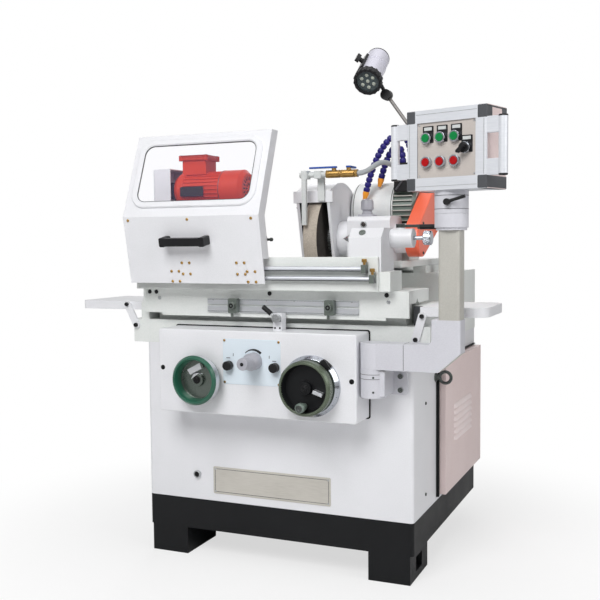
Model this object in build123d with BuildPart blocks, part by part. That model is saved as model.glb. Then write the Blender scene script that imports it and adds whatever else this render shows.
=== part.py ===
from build123d import *
import math
import os

os.makedirs("parts", exist_ok=True)

# Floor stand and the stack of castings, from the floor up
FOOT_X = 375.0
FOOT_W = 130.0
FOOT_D = 190.0
FOOT_H = 87.0
REAR_FOOT_W = 240.0
ANCHOR_D = 18.0
ANCHOR_SEAT = 22.0
POCKET_W = 64.0
POCKET_H = 45.0
PLINTH_W = 900.0
PLINTH_D = 820.0
PLINTH_WALL = 14.0
PLINTH_R = 12.0
BAND_H = 99.0
CAB_H = 504.0
CAB_WALL = 5.0
CAB_RIM = 60.0
LUG_H = 75.0
LUG_W = 1000.0
LUG_D = 80.0
WAY_H = 65.0
TABLE_T = 38.0
SWIVEL_T = 57.0
CENTRE_H = 95.0
REAR_H = 216.0

# Clearances shared by mating pieces
RUN = 0.05
GAP = 0.3
SLIDE = 0.05

# Three anchor holes lie on one circle whose centre is the origin
ANCHOR_R = FOOT_X / math.cos(math.radians(30))
FRONT = -(ANCHOR_R / 2 + FOOT_D / 2)
BACK = FRONT + PLINTH_D
MID_Y = (FRONT + BACK) / 2
SIDE = PLINTH_W / 2
REAR_FOOT_D = 2 * (BACK - ANCHOR_R)
BAND_TOP = FOOT_H + BAND_H
CAB_TOP = BAND_TOP + CAB_H
LUG_TOP = CAB_TOP + LUG_H
WAY_TOP = LUG_TOP + WAY_H
TABLE_TOP = WAY_TOP + TABLE_T
SWIVEL_TOP = TABLE_TOP + SWIVEL_T
WORK_Z = SWIVEL_TOP + CENTRE_H
REAR_TOP = CAB_TOP + REAR_H

# Cabinet door and openings
DOOR_T = 26.0
DOOR_SKIN = 3.0
DOOR_GAP = 2.0
DOOR_FRONT = 270.0
DOOR_LOW = 19.0
DOOR_H = 423.0
BAY_INSET = 30.0
HINGE_INSET = 17.0
HINGE_PIN_R = 4.0
HINGE_R = 8.0
HINGE_L = 26.0
LOUVRE_L = 235.0
LOUVRE_W = 8.0
LOUVRE_PITCH = 21.0
LOUVRE_ROWS = 6
LOUVRE_Y = FRONT + 503.0
LOUVRE_DROP = 214.0
INLET_X = 250.0
INLET_Z = 330.0
INLET_D = 25.0

# Bed
BED_WALL = 30.0
BED_SKIN = 25.0
END_WALL = 30.0
END_X = 440.0
TRAY_D = 255.0
TRAY_T = 27.0
TRAY_DROP = 8.0
TRAY_LEFT = 702.0
TRAY_RIGHT = 662.0
TRAY_SKIN = 4.0
WAY_X = 420.0
VEE_Y = 60.0
VEE_H = 14.0
VEE_W = 60.0
FLAT_Y = 152.0
FLAT_W = 46.0
REAR_Y = 400.0
TROUGH_X0 = 20.0
TROUGH_X1 = 175.0
TROUGH_D = 200.0
TROUGH_H = 56.0
CROSS_X0 = 200.0
CROSS_X1 = 355.0
CROSS_W = 44.0
CROSS_H = 24.0

# Apron box with its controls
APRON_X0 = -335.0
APRON_X1 = 316.0
APRON_D = 114.0
APRON_DROP = 199.0
APRON_H = 257.0
APRON_WALL = 5.0
BOSS_R = 22.0
BOSS_L = 45.0
TRAVERSE_X = -181.0
TRAVERSE_DROP = 90.0
TRAVERSE_R = 75.0
WHEEL_SHAFT_R = 10.0
INFEED_X = 178.0
INFEED_DROP = 95.0
INFEED_R = 80.0
DIAL_R = 90.0
DIAL_T = 20.0
GRIP_R = 14.0
GRIP_OUT = 52.0
FEED_X = -4.0
FEED_DROP = 30.0
FEED_R = 28.0
FEED_SHAFT_R = 6.0
THROTTLE_X0 = -87.0
THROTTLE_X1 = 65.0
THROTTLE_DROP = 46.0
THROTTLE_R = 14.0
THROTTLE_SHAFT_R = 5.0
LEVER_X = 52.0
LEVER_RISE = 37.0
LEVER_PIN_R = 6.0
STAY_W = 24.0
STAY_T = 6.0

# Work table
TABLE_X = 445.0
TABLE_FRONT = 25.0
TABLE_BACK = 185.0
SKIRT_T = 10.0
SKIRT_DROP = 48.0
SKIRT_STEP = 8.0
SKIRT_X = 375.0
RAIL_X0 = -206.0
RAIL_X1 = 294.0
RAIL_H = 41.0
RAIL_LOW = 15.0
RAIL_T = 6.0
SLOT_H = 6.0
DOG_X0 = -109.0
DOG_X1 = 209.0
DOG_W = 30.0
DOG_T = 20.0
SWIVEL_X0 = -440.0
SWIVEL_X1 = 400.0
SWIVEL_FRONT = 60.0
SWIVEL_BACK = 52.0
PIVOT_R = 20.0
PIVOT_L = 24.0
PLATE_X1 = 367.0
PLATE_T = 10.0
PLATE_RISE = 42.0
ROD_R = 7.0
ROD_OUT = 15.0
ROD_HIGH = 65.0
ROD_LOW = 37.0
ROD_HIGH_X1 = 338.0
ROD_LOW_X1 = 362.0
ROD_FOOT = 14.0

# Splash hood
HOOD_X0 = -440.0
HOOD_X1 = 27.0
HOOD_T = 2.5
HOOD_LOW_OUT = 100.0
HOOD_MID_OUT = 140.0
HOOD_TOP_OUT = 40.0
HOOD_LOW_Z = 20.0
HOOD_MID_Z = 224.0
HOOD_TOP_Z = 480.0
HOOD_FLANGE = 42.0
WINDOW_W = 395.0
WINDOW_H = 196.0
WINDOW_R = 34.0
WINDOW_X = -207.5
WINDOW_UP = 144.0
BEARING_W = 40.0
BEARING_H = 38.0
HANDLE_W = 155.0
HANDLE_X = -220.0
HANDLE_Z = 152.0
HANDLE_OUT = 38.0

# Workhead
WORK_Y = FRONT + 40.0
HEAD_X0 = -330.0
HEAD_X1 = -85.0
HEAD_FRONT = 85.0
HEAD_BACK = 62.0
HEAD_RISE = 65.0
SPINDLE_R = 22.0
NOSE_X = -40.0
COVER_L = 66.0
COVER_H = 300.0
COVER_T = 3.0
WM_Y = FRONT + 30.0
WM_RISE = 158.0
WM_R = 60.0
WM_X1 = -87.0
WM_SHAFT_R = 9.0
WM_BOX_X0 = -304.0
WM_BOX_W = 84.0
WM_BOX_D = 66.0
WM_BOX_H = 50.0
WM_FINS = 30
WM_FIN_T = 2.5
WORK_PULLEY_R = 34.0
WORK_DRIVE_R = 24.0
PULLEY_W = 20.0
BELT_T = 4.0

# Tailstock
TAIL_X0 = 275.0
TAIL_X1 = 373.0
TAIL_FRONT = 99.0
TAIL_BACK = 22.0
TAIL_RISE = 30.0
TAIL_CHAMFER = 28.0
BARREL_R = 28.0
BARREL_X1 = 440.0
QUILL_R = 18.0
QUILL_STROKE = 20.0
CENTRE_TIP = 221.0
TAIL_KNOB_R = 20.0
TAIL_PIVOT_X = 400.0
TAIL_PIN_R = 5.0
TAIL_SHAFT_R = 6.0

# Wheelhead
WHEEL_Y = FRONT + 232.0
WHEEL_R = 150.0
WHEEL_X0 = 72.0
WHEEL_W = 45.0
WHEEL_BORE_R = 40.0
FLANGE_R = 55.0
WSP_R = 25.0
GUARD_X0 = 35.0
GUARD_X1 = 148.0
GUARD_WALL = 10.0
GUARD_GAP = 20.0
LIP_W = 132.0
LIP_H = 36.0
LIP_RISE = 114.0
LIP_T = 12.0
SLIDE_X0 = 170.0
SLIDE_X1 = 368.0
SLIDE_Y0 = FRONT + 155.0
SLIDE_Y1 = BACK - 120.0
SLIDE_T = 20.0
HOUSE_X0 = 190.0
HOUSE_X1 = 330.0
HOUSE_FRONT = 72.0
HOUSE_BACK = 53.0
HOUSE_RISE = 70.0
CAP_R = 58.0
HOUSE_END = 372.0
GM_Y = FRONT + 390.0
GM_RISE = 90.0
GM_R = 95.0
GM_X0 = 152.0
GM_EDGE = 6.0
GM_FIN_X = 294.0
GM_X1 = 366.0
GM_SHAFT_R = 14.0
GM_FINS = 36
GM_FIN_T = 4.0
GM_FIN_H = 8.0
GM_FOOT_W = 110.0
STAND_H = 50.0
SPINDLE_PULLEY_R = 45.0
DRIVE_PULLEY_R = 50.0
DRIVE_X = 380.0
DRIVE_W = 26.0
BELT_GUARD_R = 72.0
BELT_NOSE_R = 58.0
BELT_GUARD_X1 = 415.0
BELT_GUARD_T = 3.0

# Coolant
PIPE_Y = FRONT + 90.0
PIPE_Z = WORK_Z + 198.0
PIPE_R = 9.0
PIPE_X0 = 62.0
VALVE_X0 = 150.0
VALVE_X1 = 250.0
VALVE_R = 12.0
VALVE_STEM_R = 4.0
HOSE_R = 10.5
HOSE_NECK_R = 7.0
HOSE_BORE_R = 4.0
HOSE_RIBS = 10
MANIFOLD_X0 = 300.0
MANIFOLD_X1 = 372.0

# Control pendant
ARM_Y = FRONT - 78.0
BASE_X = 353.0
BASE_R = 35.0
BASE_Z0 = CAB_TOP - 122.0
BASE_H = 82.0
BASE_PIN_R = 15.0
ARM_W = 60.0
ARM_H = 75.0
ELBOW_X1 = 612.0
ELBOW_W = 80.0
ELBOW_RISE = 70.0
POLE_X = 580.0
POLE_W = 60.0
POLE_H = 244.0
POLE_WALL = 4.0
JOINT_R = 46.0
JOINT_H = 45.0
NECK_H = 62.0
SPIGOT_R = 20.0
BOX_SHIFT = 12.0
BOX_YAW = 16.0
BOX_W = 242.0
BOX_D = 112.0
BOX_H = 215.0
BOX_WALL = 5.0
FRAME_W = 33.0
FRAME_H = 34.0
PANEL_SINK = 4.0
BUTTON_U = (-58.0, -15.0, 28.0)
BUTTON_V = 32.0
BUTTON_R = 11.0
BEZEL_R = 15.0
BEZEL_H = 12.0
STEM_R = 5.0
SELECTOR_U = 59.0
SIDE_HANDLE_OUT = 42.0
SIDE_HANDLE_Y = -48.0
SIDE_HANDLE_H = 150.0
SIDE_HANDLE_R = 12.0

# Work lamp
LAMP_X = 434.0
LAMP_Y = FRONT + 466.0
LAMP_ELBOW_Z = REAR_TOP + 313.0
LAMP_POST_R = 10.0
LAMP_ARM_R = 6.0
LAMP_TIP_X = 230.5
LAMP_TIP_Z = REAR_TOP + 598.0
LAMP_EYE_R = 18.0
LAMP_EYE_T = 14.0
LAMP_PIN_R = 6.0
LAMP_BODY_R = 39.0
LAMP_BODY_L = 148.0
LAMP_RING_R = 46.0
LAMP_RING_L = 24.0
LAMP_HEAD = (-46.0, 4.0, 88.0)


def block(x0, x1, y0, y1, z0, z1, mode=Mode.ADD):
    """Box between two limits along each axis."""
    with Locations(((x0 + x1) / 2, (y0 + y1) / 2, (z0 + z1) / 2)):
        Box(x1 - x0, y1 - y0, z1 - z0, mode=mode)


def rod_x(x0, x1, y, z, r, mode=Mode.ADD):
    """Round bar along X."""
    with Locations(Location(((x0 + x1) / 2, y, z), (0, 90, 0))):
        Cylinder(r, x1 - x0, mode=mode)


def rod_y(x, y0, y1, z, r, mode=Mode.ADD):
    """Round bar along Y."""
    with Locations(Location((x, (y0 + y1) / 2, z), (90, 0, 0))):
        Cylinder(r, y1 - y0, mode=mode)


def rod_z(x, y, z0, z1, r, mode=Mode.ADD):
    """Round bar along Z."""
    with Locations((x, y, (z0 + z1) / 2)):
        Cylinder(r, z1 - z0, mode=mode)


# Plinth: hollow band on two front feet and one rear foot
with BuildPart() as plinth:
    with BuildSketch(Plane.XY.offset(FOOT_H)):
        with Locations((0, MID_Y)):
            RectangleRounded(PLINTH_W, PLINTH_D, PLINTH_R)
    extrude(amount=BAND_H)
    with BuildSketch(Plane.XY.offset(FOOT_H)):
        with Locations((0, MID_Y)):
            Rectangle(PLINTH_W - 2 * PLINTH_WALL, PLINTH_D - 2 * PLINTH_WALL)
    extrude(amount=BAND_H - PLINTH_WALL, mode=Mode.SUBTRACT)
    with BuildSketch():
        with Locations((-FOOT_X, FRONT + FOOT_D / 2), (FOOT_X, FRONT + FOOT_D / 2)):
            Rectangle(FOOT_W, FOOT_D)
        with Locations((0, BACK - REAR_FOOT_D / 2)):
            Rectangle(REAR_FOOT_W, REAR_FOOT_D)
    extrude(amount=FOOT_H + PLINTH_WALL)
    pocket_z = (ANCHOR_SEAT, ANCHOR_SEAT + POCKET_H)
    pocket_y = FRONT + FOOT_D / 2
    pocket_x = (FOOT_X - POCKET_W / 2, FOOT_X + FOOT_W / 2)
    block(*pocket_x, pocket_y - POCKET_W / 2, pocket_y + POCKET_W / 2, *pocket_z, mode=Mode.SUBTRACT)
    block(-pocket_x[1], -pocket_x[0], pocket_y - POCKET_W / 2, pocket_y + POCKET_W / 2,
          *pocket_z, mode=Mode.SUBTRACT)
    block(-POCKET_W / 2, POCKET_W / 2, ANCHOR_R - POCKET_W / 2, BACK, *pocket_z, mode=Mode.SUBTRACT)
    with Locations((0, 0, ANCHOR_SEAT)):
        with PolarLocations(ANCHOR_R, 3, start_angle=90):
            Hole(ANCHOR_D / 2, depth=ANCHOR_SEAT)
plinth.part.label = "plinth"
export_step(plinth.part, "parts/plinth.step")

# Cabinet: sheet shell with a bay in the right wall and two hinge pins beside it
hinge_x = SIDE + DOOR_GAP + DOOR_T / 2
hinge_y = BACK - HINGE_INSET
door_z0 = BAND_TOP + DOOR_LOW
door_z1 = door_z0 + DOOR_H
door_y0 = FRONT + DOOR_FRONT
door_y1 = hinge_y - HINGE_R - 1
hinge_zs = (door_z0 + 45, door_z1 - 45 - 2 * HINGE_L)
with BuildPart() as cabinet:
    with BuildSketch(Plane.XY.offset(BAND_TOP)):
        with Locations((0, MID_Y)):
            RectangleRounded(PLINTH_W, PLINTH_D, PLINTH_R)
    extrude(amount=CAB_H)
    with BuildSketch(Plane.XY.offset(BAND_TOP + CAB_WALL)):
        with Locations((0, MID_Y)):
            RectangleRounded(PLINTH_W - 2 * CAB_WALL, PLINTH_D - 2 * CAB_WALL, PLINTH_R - CAB_WALL)
    extrude(amount=CAB_H - 2 * CAB_WALL, mode=Mode.SUBTRACT)
    with BuildSketch(Plane.XY.offset(CAB_TOP)):
        with Locations((0, MID_Y)):
            Rectangle(PLINTH_W - 2 * CAB_RIM, PLINTH_D - 2 * CAB_RIM)
    extrude(amount=-2 * CAB_WALL, mode=Mode.SUBTRACT)
    block(SIDE - 2 * CAB_WALL, SIDE + 1, door_y0 + BAY_INSET, door_y1 - BAY_INSET,
          door_z0 + BAY_INSET, door_z1 - BAY_INSET, mode=Mode.SUBTRACT)
    rod_y(INLET_X, BACK - 2 * CAB_WALL, BACK + 1, INLET_Z, INLET_D / 2, mode=Mode.SUBTRACT)
    for hinge_z in hinge_zs:
        block(SIDE - 1, hinge_x, hinge_y - HINGE_R, hinge_y + HINGE_R, hinge_z, hinge_z + HINGE_L)
        rod_z(hinge_x, hinge_y, hinge_z, hinge_z + HINGE_L, HINGE_R)
        rod_z(hinge_x, hinge_y, hinge_z, hinge_z + 2 * HINGE_L, HINGE_PIN_R)
cabinet.part.label = "cabinet"
export_step(cabinet.part, "parts/cabinet.step")

# Door: folded pan with louvres, hung on the two pins
with BuildPart() as electrical_door:
    door_x0 = SIDE + DOOR_GAP
    door_x1 = door_x0 + DOOR_T
    block(door_x0, door_x1, door_y0, door_y1, door_z0, door_z1)
    block(door_x0 - 1, door_x1 - DOOR_SKIN, door_y0 + DOOR_SKIN, door_y1 - DOOR_SKIN,
          door_z0 + DOOR_SKIN, door_z1 - DOOR_SKIN, mode=Mode.SUBTRACT)
    louvre_plane = Plane((door_x1, LOUVRE_Y, door_z1 - LOUVRE_DROP), x_dir=(0, 1, 0), z_dir=(1, 0, 0))
    with BuildSketch(louvre_plane):
        with GridLocations(0, LOUVRE_PITCH, 1, LOUVRE_ROWS):
            SlotOverall(LOUVRE_L, LOUVRE_W)
    extrude(amount=-2 * DOOR_SKIN, mode=Mode.SUBTRACT)
    for hinge_z in hinge_zs:
        low = hinge_z + HINGE_L + GAP
        rod_z(hinge_x, hinge_y, low, low + HINGE_L, HINGE_R)
        block(hinge_x - HINGE_R / 2, hinge_x + HINGE_R / 2, door_y1 - DOOR_SKIN, hinge_y, low, low + HINGE_L)
        rod_z(hinge_x, hinge_y, low - 1, low + HINGE_L + 1, HINGE_PIN_R + RUN, mode=Mode.SUBTRACT)
electrical_door.part.label = "electrical_door"
export_step(electrical_door.part, "parts/electrical_door.step")

# Bed: hollow slab with lugs, table ways, end walls for the trays and a raised rear platform
tray_top = WAY_TOP - TRAY_DROP
way_low = WAY_TOP - SLIDE
rear_front = FRONT + REAR_Y
cross_top = REAR_TOP + CROSS_H
with BuildPart() as bed:
    block(-SIDE, SIDE, FRONT, BACK, CAB_TOP, LUG_TOP)
    block(-LUG_W / 2, LUG_W / 2, FRONT, FRONT + LUG_D, CAB_TOP, LUG_TOP)
    block(-SIDE, SIDE, rear_front, BACK, LUG_TOP, REAR_TOP)
    for wall_x, wall_y in ((-END_X - END_WALL, FRONT), (END_X, FRONT + 40)):
        block(wall_x, wall_x + END_WALL, wall_y, FRONT + TRAY_D, LUG_TOP, tray_top)
    block(-WAY_X, WAY_X, FRONT + VEE_Y - VEE_W / 2, FRONT + VEE_Y + VEE_W / 2, LUG_TOP, way_low)
    with BuildSketch(Plane.YZ.offset(-WAY_X)):
        with BuildLine():
            Polyline((FRONT + VEE_Y - VEE_H, way_low), (FRONT + VEE_Y, way_low + VEE_H),
                     (FRONT + VEE_Y + VEE_H, way_low), close=True)
        make_face()
    extrude(amount=2 * WAY_X)
    block(-WAY_X, WAY_X, FRONT + FLAT_Y - FLAT_W / 2, FRONT + FLAT_Y + FLAT_W / 2, LUG_TOP, way_low)
    for cross_x in (CROSS_X0, CROSS_X1):
        block(cross_x - CROSS_W / 2, cross_x + CROSS_W / 2, rear_front + 5, BACK - 5, REAR_TOP, cross_top)
    block(LAMP_X - 16, SIDE, LAMP_Y - 22, LAMP_Y + 22, REAR_TOP, REAR_TOP + 36)
    block(TROUGH_X0, TROUGH_X1, rear_front, rear_front + TROUGH_D, REAR_TOP - TROUGH_H, REAR_TOP,
          mode=Mode.SUBTRACT)
    block(-SIDE + BED_WALL, SIDE - BED_WALL, FRONT + BED_WALL, BACK - BED_WALL, CAB_TOP, LUG_TOP - BED_SKIN,
          mode=Mode.SUBTRACT)
    block(-SIDE + BED_WALL, SIDE - BED_WALL, rear_front + BED_WALL, BACK - BED_WALL, CAB_TOP,
          REAR_TOP - TROUGH_H - 15, mode=Mode.SUBTRACT)
    rod_z(LAMP_X, LAMP_Y, REAR_TOP + 2, REAR_TOP + 37, LAMP_POST_R + RUN, mode=Mode.SUBTRACT)
bed.part.label = "bed"
export_step(bed.part, "parts/bed.step")

# Apron box: hollow box on the cabinet front with shaft bosses and the lever bracket on top
apron_front = FRONT - APRON_D
apron_z0 = CAB_TOP - APRON_DROP
apron_top = apron_z0 + APRON_H
traverse_z = CAB_TOP - TRAVERSE_DROP
infeed_z = CAB_TOP - INFEED_DROP
feed_z = CAB_TOP - FEED_DROP
throttle_z = CAB_TOP - THROTTLE_DROP
lever_z = apron_top + LEVER_RISE
boss_back = apron_front + BOSS_L
shafts = (
    (TRAVERSE_X, traverse_z, WHEEL_SHAFT_R),
    (INFEED_X, infeed_z, WHEEL_SHAFT_R),
    (FEED_X, feed_z, FEED_SHAFT_R),
    (THROTTLE_X0, throttle_z, THROTTLE_SHAFT_R),
    (THROTTLE_X1, throttle_z, THROTTLE_SHAFT_R),
)
with BuildPart() as apron_box:
    block(APRON_X0, APRON_X1, apron_front, FRONT, apron_z0, apron_top)
    fillet(apron_box.edges().filter_by(Axis.Y), 8)
    fillet(apron_box.faces().sort_by(Axis.Y)[0].edges(), 4)
    block(APRON_X0 + APRON_WALL, APRON_X1 - APRON_WALL, apron_front + APRON_WALL, FRONT,
          apron_z0 + APRON_WALL, apron_top - APRON_WALL, mode=Mode.SUBTRACT)
    for shaft_x, shaft_z, shaft_r in shafts:
        rod_y(shaft_x, apron_front + 1, boss_back, shaft_z, shaft_r + BOSS_R - WHEEL_SHAFT_R)
    block(LEVER_X - 14, LEVER_X + 14, FRONT - 70, FRONT - 40, apron_top - 1, lever_z + 15)
    for shaft_x, shaft_z, shaft_r in shafts:
        rod_y(shaft_x, apron_front - 1, boss_back + 1, shaft_z, shaft_r + RUN, mode=Mode.SUBTRACT)
    rod_y(LEVER_X, FRONT - 71, FRONT - 39, lever_z, LEVER_PIN_R + RUN, mode=Mode.SUBTRACT)
apron_box.part.label = "apron_box"
export_step(apron_box.part, "parts/apron_box.step")

# Drip trays: two folded shelves at the ends of the bed, each with a stay down to the lug
tray_z0 = tray_top - TRAY_T
tray_in = END_X + END_WALL
stay_low = LUG_TOP - 20
stay_high = tray_top - 10
with BuildPart() as drip_trays:
    with BuildSketch(Plane.XY.offset(tray_z0)) as tray_outline:
        with Locations((-(tray_in + TRAY_LEFT) / 2, FRONT + TRAY_D / 2)):
            Rectangle(TRAY_LEFT - tray_in, TRAY_D)
        with Locations(((tray_in + TRAY_RIGHT) / 2, FRONT + TRAY_D / 2)):
            Rectangle(TRAY_RIGHT - tray_in, TRAY_D)
        fillet(tray_outline.vertices().sort_by(Axis.X)[:2], 14)
        fillet(tray_outline.vertices().sort_by(Axis.X)[-2:], 40)
    extrude(amount=TRAY_T)
    for x0, x1 in ((-TRAY_LEFT + TRAY_SKIN, -tray_in - TRAY_SKIN), (tray_in + TRAY_SKIN, TRAY_RIGHT - 18)):
        block(x0, x1, FRONT + 12, FRONT + TRAY_D - 12, tray_z0, tray_top - TRAY_SKIN,
              mode=Mode.SUBTRACT)
    for x_low, z_low, x_high, z_high in (
        (-488, stay_low, -522, stay_high),
        (458, stay_low - 17, 477, stay_high - 16),
    ):
        run = math.hypot(x_high - x_low, z_high - z_low)
        tilt = math.degrees(math.atan2(z_high - z_low, x_high - x_low))
        with BuildSketch(Plane.XZ.offset(-FRONT)):
            with Locations(((x_low + x_high) / 2, (z_low + z_high) / 2)):
                SlotCenterToCenter(run, STAY_W, rotation=tilt)
        extrude(amount=STAY_T)
        rod_y(x_low, FRONT - STAY_T - 6, FRONT - STAY_T, z_low, 6.5)
        rod_y(x_high, FRONT - STAY_T - 6, FRONT - STAY_T, z_high, 6.5)
drip_trays.part.label = "drip_trays"
export_step(drip_trays.part, "parts/drip_trays.step")

# Infeed dial: bevelled ring on the apron with a vernier block
with BuildPart() as infeed_dial:
    with BuildSketch(Plane.XZ.offset(-apron_front)):
        with Locations((INFEED_X, infeed_z)):
            Circle(DIAL_R)
            Circle(WHEEL_SHAFT_R + 4, mode=Mode.SUBTRACT)
    extrude(amount=DIAL_T)
    chamfer(infeed_dial.faces().sort_by(Axis.Y)[0].edges().sort_by(SortBy.LENGTH)[-1], length=12, length2=9)
    with Locations(Location((INFEED_X + 48, apron_front - DIAL_T, infeed_z + 64), (0, -37, 0))):
        Box(24, 8, 26)
infeed_dial.part.label = "infeed_dial"
export_step(infeed_dial.part, "parts/infeed_dial.step")

# Traverse handwheel: shaft, hub, dished web and rim in one turning
with BuildPart() as traverse_handwheel:
    face_y = apron_front - 16
    with BuildSketch(Plane((TRAVERSE_X, 0, traverse_z), x_dir=(0, 1, 0), z_dir=(1, 0, 0))):
        with BuildLine():
            Polyline((boss_back, 0), (boss_back, WHEEL_SHAFT_R), (apron_front - 1, WHEEL_SHAFT_R),
                     (apron_front - 1, 24), (face_y, 26), (face_y, TRAVERSE_R - 14),
                     (face_y - 4, TRAVERSE_R - 4), (face_y - 14, TRAVERSE_R), (face_y - 36, TRAVERSE_R),
                     (face_y - 44, TRAVERSE_R - 6), (face_y - 44, TRAVERSE_R - 11),
                     (face_y - 34, TRAVERSE_R - 15), (face_y - 9, TRAVERSE_R - 18), (face_y - 9, 22),
                     (face_y - 20, 20), (face_y - 20, 0), close=True)
        make_face()
    revolve(axis=Axis((TRAVERSE_X, 0, traverse_z), (0, 1, 0)))
    with BuildSketch(Plane.XZ.offset(-(face_y - 9))):
        with Locations((TRAVERSE_X - 4, traverse_z + 33)):
            SlotOverall(62, 18, rotation=28)
    extrude(amount=16)
traverse_handwheel.part.label = "traverse_handwheel"
export_step(traverse_handwheel.part, "parts/traverse_handwheel.step")

# Infeed handwheel: dished wheel in front of the dial, with a pin for the grip
infeed_face = apron_front - DIAL_T - 8
grip_z = infeed_z - GRIP_OUT
grip_x = INFEED_X - 4
with BuildPart() as infeed_handwheel:
    with BuildSketch(Plane((INFEED_X, 0, infeed_z), x_dir=(0, 1, 0), z_dir=(1, 0, 0))):
        with BuildLine():
            Polyline((boss_back, 0), (boss_back, WHEEL_SHAFT_R), (apron_front - DIAL_T - 1, WHEEL_SHAFT_R),
                     (apron_front - DIAL_T - 1, 26), (infeed_face, 28), (infeed_face, INFEED_R - 8),
                     (infeed_face - 6, INFEED_R), (infeed_face - 26, INFEED_R),
                     (infeed_face - 34, INFEED_R - 5), (infeed_face - 34, INFEED_R - 10),
                     (infeed_face - 8, INFEED_R - 16), (infeed_face - 8, 20), (infeed_face - 22, 18),
                     (infeed_face - 22, 0), close=True)
        make_face()
    revolve(axis=Axis((INFEED_X, 0, infeed_z), (0, 1, 0)))
    rod_y(grip_x, infeed_face - 14, infeed_face - 4, grip_z, 8)
    rod_y(grip_x, infeed_face - 44, infeed_face - 4, grip_z, 4)
    with Locations(Location((INFEED_X + 40, infeed_face - 17, infeed_z - 12), (0, 18, 0))):
        Box(30, 20, 10)
infeed_handwheel.part.label = "infeed_handwheel"
export_step(infeed_handwheel.part, "parts/infeed_handwheel.step")

# Grip turning on the handwheel pin
with BuildPart() as infeed_grip:
    with BuildSketch(Plane((grip_x, 0, grip_z), x_dir=(0, 1, 0), z_dir=(1, 0, 0))):
        with BuildLine():
            Polyline((infeed_face - 14 - GAP, 4 + RUN), (infeed_face - 14 - GAP, 9),
                     (infeed_face - 24, GRIP_R - 3), (infeed_face - 40, GRIP_R), (infeed_face - 52, GRIP_R),
                     (infeed_face - 56, GRIP_R - 4), (infeed_face - 56, 0), (infeed_face - 45, 0),
                     (infeed_face - 45, 4 + RUN), close=True)
        make_face()
    revolve(axis=Axis((grip_x, 0, grip_z), (0, 1, 0)))
infeed_grip.part.label = "infeed_grip"
export_step(infeed_grip.part, "parts/infeed_grip.step")

# Feed knob: stepped knob on a short shaft
with BuildPart() as feed_knob:
    with BuildSketch(Plane((FEED_X, 0, feed_z), x_dir=(0, 1, 0), z_dir=(1, 0, 0))):
        with BuildLine():
            Polyline((boss_back, 0), (boss_back, FEED_SHAFT_R), (apron_front - 4, FEED_SHAFT_R),
                     (apron_front - 4, FEED_R - 2), (apron_front - 30, FEED_R), (apron_front - 40, FEED_R),
                     (apron_front - 44, FEED_R - 4), (apron_front - 52, FEED_R - 4),
                     (apron_front - 56, FEED_R - 2), (apron_front - 80, FEED_R - 2),
                     (apron_front - 86, FEED_R - 8), (apron_front - 86, 0), close=True)
        make_face()
    revolve(axis=Axis((FEED_X, 0, feed_z), (0, 1, 0)))
feed_knob.part.label = "feed_knob"
export_step(feed_knob.part, "parts/feed_knob.step")

# Throttle knobs: one on each side of the feed knob
with BuildPart() as throttle_left:
    rod_y(THROTTLE_X0, apron_front - 24, apron_front - 4, throttle_z, THROTTLE_R)
    fillet(throttle_left.faces().sort_by(Axis.Y)[0].edges(), 3)
    rod_y(THROTTLE_X0, apron_front - 5, boss_back, throttle_z, THROTTLE_SHAFT_R)
throttle_left.part.label = "throttle_left"
export_step(throttle_left.part, "parts/throttle_left.step")

with BuildPart() as throttle_right:
    rod_y(THROTTLE_X1, apron_front - 24, apron_front - 4, throttle_z, THROTTLE_R)
    fillet(throttle_right.faces().sort_by(Axis.Y)[0].edges(), 3)
    rod_y(THROTTLE_X1, apron_front - 5, boss_back, throttle_z, THROTTLE_SHAFT_R)
throttle_right.part.label = "throttle_right"
export_step(throttle_right.part, "parts/throttle_right.step")

# Reversing lever: hub on a pin with a slanted arm and grip
with BuildPart() as reversing_lever:
    rod_y(LEVER_X, FRONT - 84, FRONT - 70 - GAP, lever_z, 13)
    rod_y(LEVER_X, FRONT - 75, FRONT - 38, lever_z, LEVER_PIN_R)
    lever_dir = (-0.76, -0.1, 0.64)
    with BuildSketch(Plane((LEVER_X, FRONT - 77, lever_z), z_dir=lever_dir)):
        Circle(4.5)
    extrude(amount=30)
    with BuildSketch(Plane((LEVER_X - 16, FRONT - 79.1, lever_z + 13.5), z_dir=lever_dir)):
        Circle(7.5)
    extrude(amount=34)
    fillet(reversing_lever.edges().sort_by(Axis.Z)[-1], 3)
reversing_lever.part.label = "reversing_lever"
export_step(reversing_lever.part, "parts/reversing_lever.step")

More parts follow.
